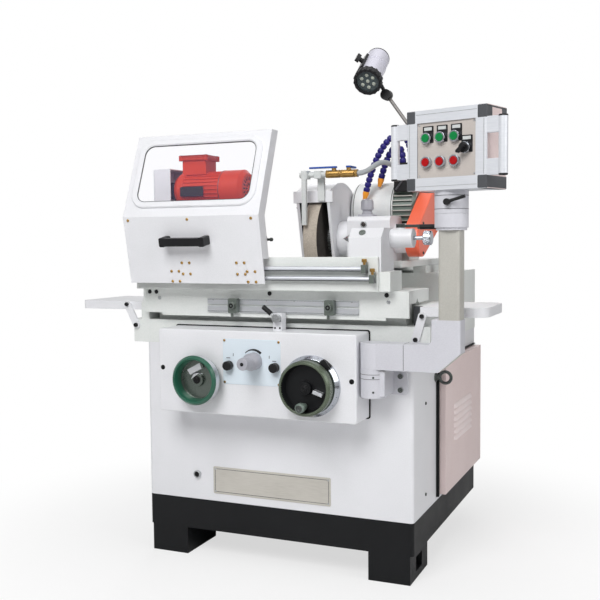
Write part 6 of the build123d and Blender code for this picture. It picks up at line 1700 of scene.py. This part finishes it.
@dataclass
class Coolant:
    """Coolant pipe, valves and jointed hoses.

    Attributes:
        first: Control points of the long hose.
        second: Control points of the short hose.
        bead: Radius of a bead.
        neck: Radius of a bead's neck.
        tip: Length of a tip.
        nuts: Depth and height of the valves' nuts.
    """

    first: tuple[Triple, ...] = (
        (352.0, FRONT + 320.0, 1262.0), (352.0, FRONT + 320.0, 1410.0),
        (262.0, FRONT + 275.0, 1375.0), (212.0, FRONT + 280.0, 1170.0),
    )
    second: tuple[Triple, ...] = (
        (324.0, FRONT + 320.0, 1262.0), (324.0, FRONT + 320.0, 1345.0),
        (280.0, FRONT + 320.0, 1335.0), (250.0, FRONT + 320.0, 1214.0),
    )
    bead: float = 10.5
    neck: float = 7.0
    tip: float = 26.0
    nuts: Pair = (FRONT + 90.0, 1218.0)

    def dress(self) -> None:
        """Gives the pipe and valves their finishes."""
        pipe = [Paint.NOZZLE, Paint.BRASS, Paint.HOSE_GREY, Paint.BLACK_PLASTIC]
        dress("coolant_pipe", pipe, self._zone)
        dress("valve_lever_left", [Paint.VALVE_BLUE])
        dress("valve_lever_right", [Paint.VALVE_BLUE])

    @staticmethod
    def _zone(point: Vector, normal: Vector) -> int:
        """Tells the pipe, valves, hose and manifold apart.

        Args:
            point: Centre of a face.
            normal: Its normal.

        Returns:
            Zone of the face.
        """
        if point.x < 150.0:
            return 0
        if point.y > FRONT + 297.0 and point.x > 299.0:
            return 3
        return 1 if point.x < 247.0 and point.y < FRONT + 104.0 else 2

    def build(self) -> None:
        """Adds the jointed hoses, their tips, the manifold's brace and the valves' nuts."""
        tips = Shape()
        joined = bmesh.new()
        for points, count in ((self.first, 20), (self.second, 10)):
            path = bezier(points, 64)
            run = sum((b - a).length for a, b in zip(path, path[1:]))
            half = run / count / 2.0
            bead = Shape().turn(self._bead(half), Matrix(), 24, True)
            joined.from_mesh(Trees.string(bead, self._trim(path, half), count, Paint.HOSE_BLUE))
            ahead = (path[-1] - path[-2]).normalized()
            tips.turn(self._tip(), along(path[-1], ahead), 24)
        hoses = bpy.data.meshes.new("hose_beads")
        joined.to_mesh(hoses)
        joined.free()
        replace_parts(show("hose_beads", hoses, Paint.HOSE_BLUE, "wheelhead"), "coolant_hoses")
        tips.piece("hose_tips", Paint.TIP_ORANGE, "wheelhead")
        brace = Shape()
        front = FRONT + 298.0
        for start, end in ((306.0, 366.0), (366.0, 306.0)):
            brace.rod((start, front, 1176.0), (end, front, 1256.0), 3.2)
        brace.piece("manifold_brace", Paint.CAP_GREY, "wheelhead")
        nuts = Shape()
        for x in (150.0, 198.0, 244.0):
            place = along(Vector((x, *self.nuts)), X_AXIS)
            nuts.turn([(9.0, 0.0), (13.0, 0.0), (13.0, 7.0), (9.0, 7.0)], place, 6, True)
        nuts.piece("valve_nuts", Paint.BRASS, "wheelhead")

    def _bead(self, half: float) -> list[Pair]:
        """Draws the outline of one bead.

        Args:
            half: Half the distance from bead to bead.

        Returns:
            Radius and level of each point.
        """
        bead, neck = self.bead, self.neck
        lower = [(neck - 3.0, -half - 1.6), (neck, -half - 1.6), (neck, -half + 1.0)]
        belly = [(bead - 0.8, -half + 1.6), (bead, -half + 3.4), (bead, half - 5.2)]
        upper = [(bead - 1.4, half - 2.6), (neck + 0.6, half - 1.2), (neck - 3.0, half - 1.2)]
        return lower + belly + upper

    def _tip(self) -> list[Pair]:
        """Draws the outline of a hose's tip.

        Returns:
            Radius and level of each point.
        """
        cuff = [(self.neck - 2.0, -2.0), (self.bead, -2.0), (self.bead, 4.0)]
        mouth = [(5.5, self.tip - 0.6), (5.0, self.tip), (3.4, self.tip), (3.4, self.tip - 8.0)]
        return cuff + mouth

    @staticmethod
    def _trim(path: Sequence[Vector], cut: float) -> list[Vector]:
        """Shortens a path at both ends.

        Args:
            path: The path.
            cut: Length taken off each end.

        Returns:
            The shorter path.
        """
        points = [Vector(point) for point in path]
        for _ in range(2):
            left = cut
            while (points[1] - points[0]).length < left:
                left -= (points[1] - points[0]).length
                points.pop(0)
            points[0] = points[0] + (points[1] - points[0]).normalized() * left
            points.reverse()
        return points


@dataclass
class Pendant:
    """Pendant arm, pole, control box, buttons and handles.

    Attributes:
        x: Place of the pole across.
        middle: Place of the control box's middle across.
        depth: Depth of the pole.
        low: Height of the control box's underside.
        size: Width, depth and height of the control box.
        yaw: Turn of the box to the right in degrees.
        panel: Distance of the panel from the box's middle.
        buttons: Place of the button columns across the panel.
        selector: Place of the selector across the panel.
        row: Height of the button rows above and below the panel's middle.
        handle: Place of the handles from the middle, across and out.
        column: Place across and radius of the base's column.
    """

    x: float = 580.0
    middle: float = 592.0
    depth: float = FRONT - 78.0
    low: float = 1146.6
    size: Triple = (242.0, 112.0, 215.0)
    yaw: float = 16.0
    panel: float = 52.0
    buttons: Triple = (-58.0, -15.0, 28.0)
    selector: float = 59.0
    row: float = 32.0
    handle: Pair = (163.0, 48.0)
    column: Pair = (353.0, 35.0)

    def _place(self, across: float = 0.0, up: float = 0.0, out: float = 0.0) -> Matrix:
        """Makes a place on the box's front.

        Args:
            across: Distance across from the middle.
            up: Height from the middle.
            out: Distance towards the front.

        Returns:
            The place.
        """
        turn = math.radians(self.yaw)
        sideways = Vector((math.cos(turn), -math.sin(turn), 0.0))
        middle = Vector((self.middle, self.depth, self.low + self.size[2] / 2.0))
        place = facing(middle, sideways, Z_AXIS)
        place.translation = place @ Vector((across, up, out))
        return place

    def dress(self) -> None:
        """Gives the pendant its finishes."""
        base = [Paint.ARM, Paint.STEEL]
        dress("pendant_base", base, lambda p, n: int(p.x > 405.0 and p.y < FRONT - 14.2))
        # Downward faces of the arm take the grey pole finish as painted shade
        dress("pendant_arm", [Paint.ARM, Paint.POLE], lambda p, n: int(n.z < -0.3))
        dress("pendant_pole", [Paint.POLE])
        dress("pendant_joint", [Paint.ARM])
        back = self._place().inverted()
        finishes = [Paint.ALUMINIUM, Paint.PANEL, Paint.CHROME, Paint.SIDE_LIGHT_TINT, Paint.ARM]
        dress("pendant_box", finishes, lambda p, n: self._zone(back @ p))
        dress("clamp_lever", [Paint.BLACK_PLASTIC])
        for number in (1, 2, 3):
            dress(f"green_button_{number}", [Paint.BUTTON_GREEN])
            dress(f"red_button_{number}", [Paint.BUTTON_RED])
        dress("selector", [Paint.BLACK_PLASTIC])

    def _zone(self, point: Vector) -> int:
        """Tells the case, panel, bezels, sides and neck apart; the sides take the pink painted side
        light.

        Args:
            point: Centre of a face in the box's own frame.

        Returns:
            Zone of the face.
        """
        across, up, out = point
        if up < -self.size[2] / 2.0 - 0.2:
            return 4
        # Side faces: pink tint of painted side light
        if abs(abs(across) - self.size[0] / 2.0) < 0.2:
            return 3
        if abs(across) < 88.3 and abs(up) < 73.8 and out > self.panel - 8.0:
            return 2 if out > self.panel + 0.3 else 1
        return 0

    def build(self) -> None:
        """Adds the corner caps, grooves, plates, handle caps and seams."""
        wide, deep, high = self.size
        caps = Shape()
        for across in (-1.0, 1.0):
            side, edge = across * (wide / 2.0 - 13.8), across * (wide / 2.0 - 3.6)
            level = high / 2.0 - 17.2
            for out in (-1.0, 1.0):
                self._cap(caps, (side, level, out * (deep / 2.0 - 14.8)), (28.4, 35.2, 30.4))
            self._cap(caps, (side, -level, 0.0), (28.4, 35.2, deep + 0.8))
            self._cap(caps, (edge, high / 2.0 - 3.8, 0.0), (8.0, 8.4, deep + 0.4))
        caps.piece("box_corners", Paint.CAP_GREY, "pendant_head")
        lines = Shape()
        for up in (-1.0, 1.0):
            level = up * (high / 2.0 - 11.0)
            for place in (self._place(0.0, level, deep / 2.0), self._back(0.0, level)):
                lines.plate(wide - 58.0, 1.2, 0.3, place, 0.3)
        for across in (-1.0, 1.0):
            place = self._place(across * (wide / 2.0 - 9.0), 0.0, deep / 2.0)
            lines.plate(1.2, high - 72.0, 0.3, place, 0.3)
        for out in (-18.0, 18.0):
            top = self._place(0.0, high / 2.0, out) @ Matrix.Rotation(math.radians(-90.0), 4, "X")
            lines.plate(wide - 64.0, 1.2, 0.3, top, 0.3)
        lines.piece("box_grooves", Paint.GREY_PLASTIC, "pendant_head")
        self._plates()
        self._handles()
        self._arm()

    def _back(self, across: float, up: float) -> Matrix:
        """Makes a place on the box's back, across and up from its middle."""
        return self._place(across, up, -self.size[1] / 2.0) @ Matrix.Rotation(math.pi, 4, "Y")

    def _cap(self, shape: Shape, middle: Triple, size: Triple) -> None:
        """Adds one dark corner piece of the box.

        Args:
            shape: The shape that gets it.
            middle: Its middle in the box's own frame.
            size: Its size across, up and out.
        """
        rings = []
        half = size[2] / 2.0
        for level, cut in ((-half, 1.6), (1.6 - half, 0.0), (half - 1.6, 0.0), (half, 1.6)):
            rings.append(rounded(size[0] - 2 * cut, size[1] - 2 * cut, 3.6 - cut, level))
        shape.loft(rings, self._place(*middle))

    def _plates(self) -> None:
        """Adds the bare plates behind the green buttons and the selector, and panel screws."""
        plates = Shape()
        inserts = Shape()
        for across in (*self.buttons, self.selector):
            up = self.row if across != self.selector else 0.0
            place = self._place(across + 2.6, up + 10.0, self.panel)
            plates.plate(33.0, 45.0, 1.6, place, 2.0)
            inserts.plate(24.0, 9.0, 0.5, place @ Matrix.Translation((0.0, 15.0, 1.6)), 1.0)
        plates.piece("button_plates", Paint.BLACK_PLASTIC, "pendant_head")
        inserts.piece("button_inserts", Paint.NOZZLE, "pendant_head")
        spots = []
        for across in (-83.0, 83.0):
            for up in (-68.0, 68.0):
                place = self._place(across, up, self.panel)
                spots.append((tuple(place.translation), tuple(place.col[2][:3])))
        head = screw(Head.DOME, 2.6, 1.4)
        Trees.scatter("panel_screws", head, spots, Paint.STEEL, "pendant_head")

    def _handles(self) -> None:
        """Adds the black caps of the side handles."""
        caps = Shape()
        for across in (-1.0, 1.0):
            for level in (30.5, 178.5):
                up = level - self.size[2] / 2.0
                start = self._place(across * self.handle[0], up, self.handle[1]).translation
                caps.rod(start, start + Z_AXIS * 6.0, 12.04, 1.4)
        caps.piece("handle_caps", Paint.BLACK_PLASTIC, "pendant_head")

    def _arm(self) -> None:
        """Adds the arm's seam, the base's grooves and set screws, and the rings of the neck."""
        place = facing((451.4, self.depth, 687.8), Y_AXIS, Z_AXIS)
        seam = Shape().hoop((59.0, 74.0), 0.9, 1.4, place, 3.0, 0.2)
        seam.piece("arm_seam", Paint.CAP_GREY, "pendant_swing")
        x, radius = self.column
        rings = Shape()
        for z in (622.0, 635.0):
            place = Matrix.Translation((x, self.depth, z))
            rings.band((radius - 0.4, radius + 0.3), 1.6, 0.2, place)
        rings.piece("base_grooves", Paint.CAP_GREY, "frame")
        spots = []
        for turn, z in ((-70.0, 586.0), (-70.0, 628.0), (-30.0, 600.0)):
            angle = math.radians(turn)
            axis = (math.cos(angle), math.sin(angle), 0.0)
            spots.append(((x + radius * axis[0], self.depth + radius * axis[1], z), axis))
        Trees.scatter("base_screws", screw(Head.SOCKET, 3.2, 1.2), spots, Paint.DARK_STEEL, "frame")
        bolts = toward(AHEAD, *((417.0, FRONT - 22.0, z) for z in (582.0, 622.0)))
        Trees.scatter("base_bolts", screw(Head.SOCKET, 7.6, 1.4), bolts, Paint.DARK_STEEL, "frame")
        neck = Shape()
        for z in (1096.0, 1132.0):
            neck.band((45.4, 46.3), 1.8, 0.2, Matrix.Translation((self.x, self.depth, z)))
        neck.piece("neck_grooves", Paint.CAP_GREY, "pendant_head")


@dataclass
class Lamp:
    """Work lamp on its jointed stand.

    Attributes:
        tip: Place of the arm's tip across and up.
        foot: Place of the arm's foot across and up.
        middle: Middle of the lamp's barrel.
        aim: Direction the lamp shines.
        length: Length of the barrel.
        share: Share of the barrel that lies ahead of its middle.
        barrel: Radius of the barrel.
        ring: Radius and length of the front ring.
    """

    tip: Pair = (230.5, 1504.0)
    foot: Pair = (434.0, 1219.0)
    middle: Triple = (184.5, FRONT + 438.4, 1592.0)
    aim: Triple = (0.036, -0.795, -0.606)
    length: float = 148.0
    share: float = 0.45
    barrel: float = 39.0
    ring: Pair = (46.0, 24.0)

    def dress(self) -> None:
        """Gives the lamp its finishes."""
        stand = [Paint.LAMP_STEEL, Paint.LAMP_BLACK]
        dress("lamp_post", stand, lambda p, n: int(p.z > 1200.0 or p.z < 930.0))
        dress("lamp_arm", stand, self._arm_zone)
        finishes = [Paint.LAMP_SILVER, Paint.LAMP_BLACK, Paint.LENS]
        dress("lamp_head", finishes, self._head_zone)

    def _arm_zone(self, point: Vector, normal: Vector) -> int:
        """Tells the arm's rod from its end joints.

        Args:
            point: Centre of a face.
            normal: Its normal.

        Returns:
            Zone of the face.
        """
        upper = math.hypot(point.x - self.tip[0], point.z - self.tip[1])
        lower = math.hypot(point.x - self.foot[0], point.z - self.foot[1])
        return int(min(upper, lower) < 22.0)

    def _head_zone(self, point: Vector, normal: Vector) -> int:
        """Tells the barrel, its black ring and bracket, and the lens apart.

        Args:
            point: Centre of a face.
            normal: Its normal.

        Returns:
            Zone of the face.
        """
        aim = Vector(self.aim).normalized()
        reach = (point - Vector(self.middle)).dot(aim)
        off = (point - Vector(self.middle) - aim * reach).length
        join = self.share * self.length
        radius, run = self.ring
        if reach > join + run - 8.3 and off < radius - 7.7 and normal.dot(aim) > 0.9:
            return 2
        if reach > join - 0.3 and off < radius + 0.3:
            return 1
        return 0 if off < self.barrel + 0.3 else 1

    def build(self) -> None:
        """Adds the scalloped ring, diodes, rear rim and bands."""
        aim = Vector(self.aim).normalized()
        middle = Vector(self.middle)
        join = self.share * self.length
        radius, run = self.ring
        place = along(middle + aim * (join + 1.0), aim)
        lug = Shape().plate(4.0, 9.0, run - 3.0, Matrix(), 1.8)
        Trees.circle("lamp_scallops", lug, 16, radius + 0.6, place, Paint.LAMP_BLACK, "lamp")
        floor = along(middle + aim * (join + run - 8.0), aim)
        diode = [(6.2, 0.0), (6.2, 0.8), (5.0, 2.4), (2.4, 3.0)]
        bulb = Shape().turn(diode, Matrix(), 16)
        Trees.circle("lamp_diodes", bulb, 6, 22.0, floor, Paint.LED, "lamp", 30.0)
        Shape().turn(diode, floor, 16).piece("lamp_core_diode", Paint.LED, "lamp")
        rear = along(middle - aim * (self.length - join + 0.2), aim)
        barrel = self.barrel
        rim = [(barrel - 1.0, 0.0), (barrel + 0.4, 0.8), (barrel + 0.4, 5.0), (barrel, 5.4)]
        Shape().turn(rim, rear, 64).piece("lamp_rear_band", Paint.LAMP_BLACK, "lamp")
        bands = Shape()
        for back in (14.0, 24.0):
            bands.band((barrel - 0.2, barrel + 0.8), 3.4, 0.4, along(middle - aim * back, aim))
        bands.piece("lamp_bands", Paint.LAMP_SILVER, "lamp")


@dataclass
class Studio:
    """Camera, floor, light and background.

    Attributes:
        lens: Focal length in millimetres on a 36 mm film.
        eye: Place of the camera in metres.
        yaw: Turn of the camera in degrees.
        pitch: Tilt of the camera below the horizon in degrees.
        roll: Roll of the camera in degrees.
    """

    lens: float = 53.78
    eye: Triple = (1.16575, -2.80051, 1.00936)
    yaw: float = 23.264
    pitch: float = 3.660
    roll: float = -0.509

    def camera(self) -> None:
        """Places the camera of the photo."""
        yaw, pitch, roll = (math.radians(value) for value in (self.yaw, self.pitch, self.roll))
        flat = Vector((-math.sin(yaw), math.cos(yaw), 0.0))
        ahead = flat * math.cos(pitch) - Vector(UP) * math.sin(pitch)
        level = Vector((math.cos(yaw), math.sin(yaw), 0.0))
        over = level.cross(ahead)
        across = level * math.cos(roll) + over * math.sin(roll)
        upward = over * math.cos(roll) - level * math.sin(roll)
        data = bpy.data.cameras.new("camera")
        data.lens = self.lens
        data.sensor_width = 36.0
        data.clip_end = 60.0
        camera = bpy.data.objects.new("camera", data)
        place = Matrix((across, upward, -ahead)).transposed().to_4x4()
        place.translation = Vector(self.eye)
        camera.matrix_world = place
        bpy.context.scene.collection.objects.link(camera)
        bpy.context.scene.camera = camera

    def floor(self) -> None:
        """Lays a plain pale floor that keeps the shadow."""
        mesh = bpy.data.meshes.new("floor")
        half, level = 14.0, -0.0005
        around = ((-half, -half), (half, -half), (half, half), (-half, half))
        mesh.from_pydata([(x, y, level) for x, y in around], [], [(0, 1, 2, 3)])
        floor = bpy.data.objects.new("floor", mesh)
        material = bpy.data.materials.new("floor_pale")
        material.use_nodes = True
        tree = material.node_tree
        tree.nodes.clear()
        matte = add(tree, "ShaderNodeBsdfDiffuse", {"Color": (0.9, 0.9, 0.9, 1.0)}).outputs[0]
        lit = {"Color": BRIGHT, "Strength": 1.0}
        bright = add(tree, "ShaderNodeEmission", lit).outputs[0]
        seen = add(tree, "ShaderNodeLightPath").outputs["Is Camera Ray"]
        place = add(tree, "ShaderNodeTexCoord").outputs["Object"]
        far = add(tree, "ShaderNodeVectorMath", {0: place}, operation="LENGTH").outputs["Value"]
        ramp = {"Value": far, "From Min": 0.5, "From Max": 1.5, "To Min": 0.66, "To Max": 1.0}
        fade = add(tree, "ShaderNodeMapRange", ramp, interpolation_type="SMOOTHSTEP").outputs[0]
        share = add(tree, "ShaderNodeMath", {0: seen, 1: fade}, operation="MULTIPLY").outputs[0]
        mixed = add(tree, "ShaderNodeMixShader", {0: share, 1: matte, 2: bright}).outputs[0]
        add(tree, "ShaderNodeOutputMaterial", {"Surface": mixed})
        mesh.materials.append(material)
        bpy.context.scene.collection.objects.link(floor)

    def light(self) -> None:
        """Hangs soft lamps over and beside the machine."""
        for name, place, size, power in (
            ("key", (0.0, -3.7, 3.7), 2.6, 150.0),
            ("side", (3.6, -1.2, 2.4), 2.6, 48.0),
            ("top", (0.2, 0.4, 4.4), 3.4, 16.0),
            ("rear", (-1.4, 3.9, 2.6), 3.0, 45.0),
        ):
            data = bpy.data.lights.new(name, "AREA")
            data.shape = "DISK"
            data.size = size
            data.energy = power
            lamp = bpy.data.objects.new(name, data)
            aim = Vector((0.0, 0.0, 0.8)) - Vector(place)
            turn = aim.to_track_quat("-Z", "Y").to_matrix().to_4x4()
            lamp.matrix_world = Matrix.Translation(place) @ turn
            bpy.context.scene.collection.objects.link(lamp)

    def world(self) -> None:
        """Sets a white background with a softer ambient light."""
        world = bpy.data.worlds.new("studio")
        world.use_nodes = True
        tree = world.node_tree
        tree.nodes.clear()
        path = add(tree, "ShaderNodeLightPath").outputs
        seen = path["Is Camera Ray"]
        ramp = {"Value": path["Is Glossy Ray"], "To Min": 0.15, "To Max": 0.6}
        soft = {"Color": BRIGHT, "Strength": add(tree, "ShaderNodeMapRange", ramp).outputs[0]}
        ambient = add(tree, "ShaderNodeBackground", soft).outputs[0]
        full = {"Color": BRIGHT, "Strength": 1.0}
        white = add(tree, "ShaderNodeBackground", full).outputs[0]
        mixed = add(tree, "ShaderNodeMixShader", {0: seen, 1: ambient, 2: white}).outputs[0]
        add(tree, "ShaderNodeOutputWorld", {"Surface": mixed})
        bpy.context.scene.world = world
        bpy.context.scene.view_settings.view_transform = "Standard"


def main() -> None:
    """Dresses the solids, builds every fitting and sets the studio."""
    logging.basicConfig(level=logging.INFO, format="%(name)s %(message)s")
    heads = (Hood, Workhead, Tailstock, Wheelhead)
    for kind in (Base, Apron, Table, *heads, Coolant, Pendant, Lamp):
        log.info("%s", kind.__name__)
        part = kind()
        part.dress()
        part.build()
    studio = Studio()
    studio.camera()
    studio.floor()
    studio.light()
    studio.world()


if __name__ == "__main__":
    main()
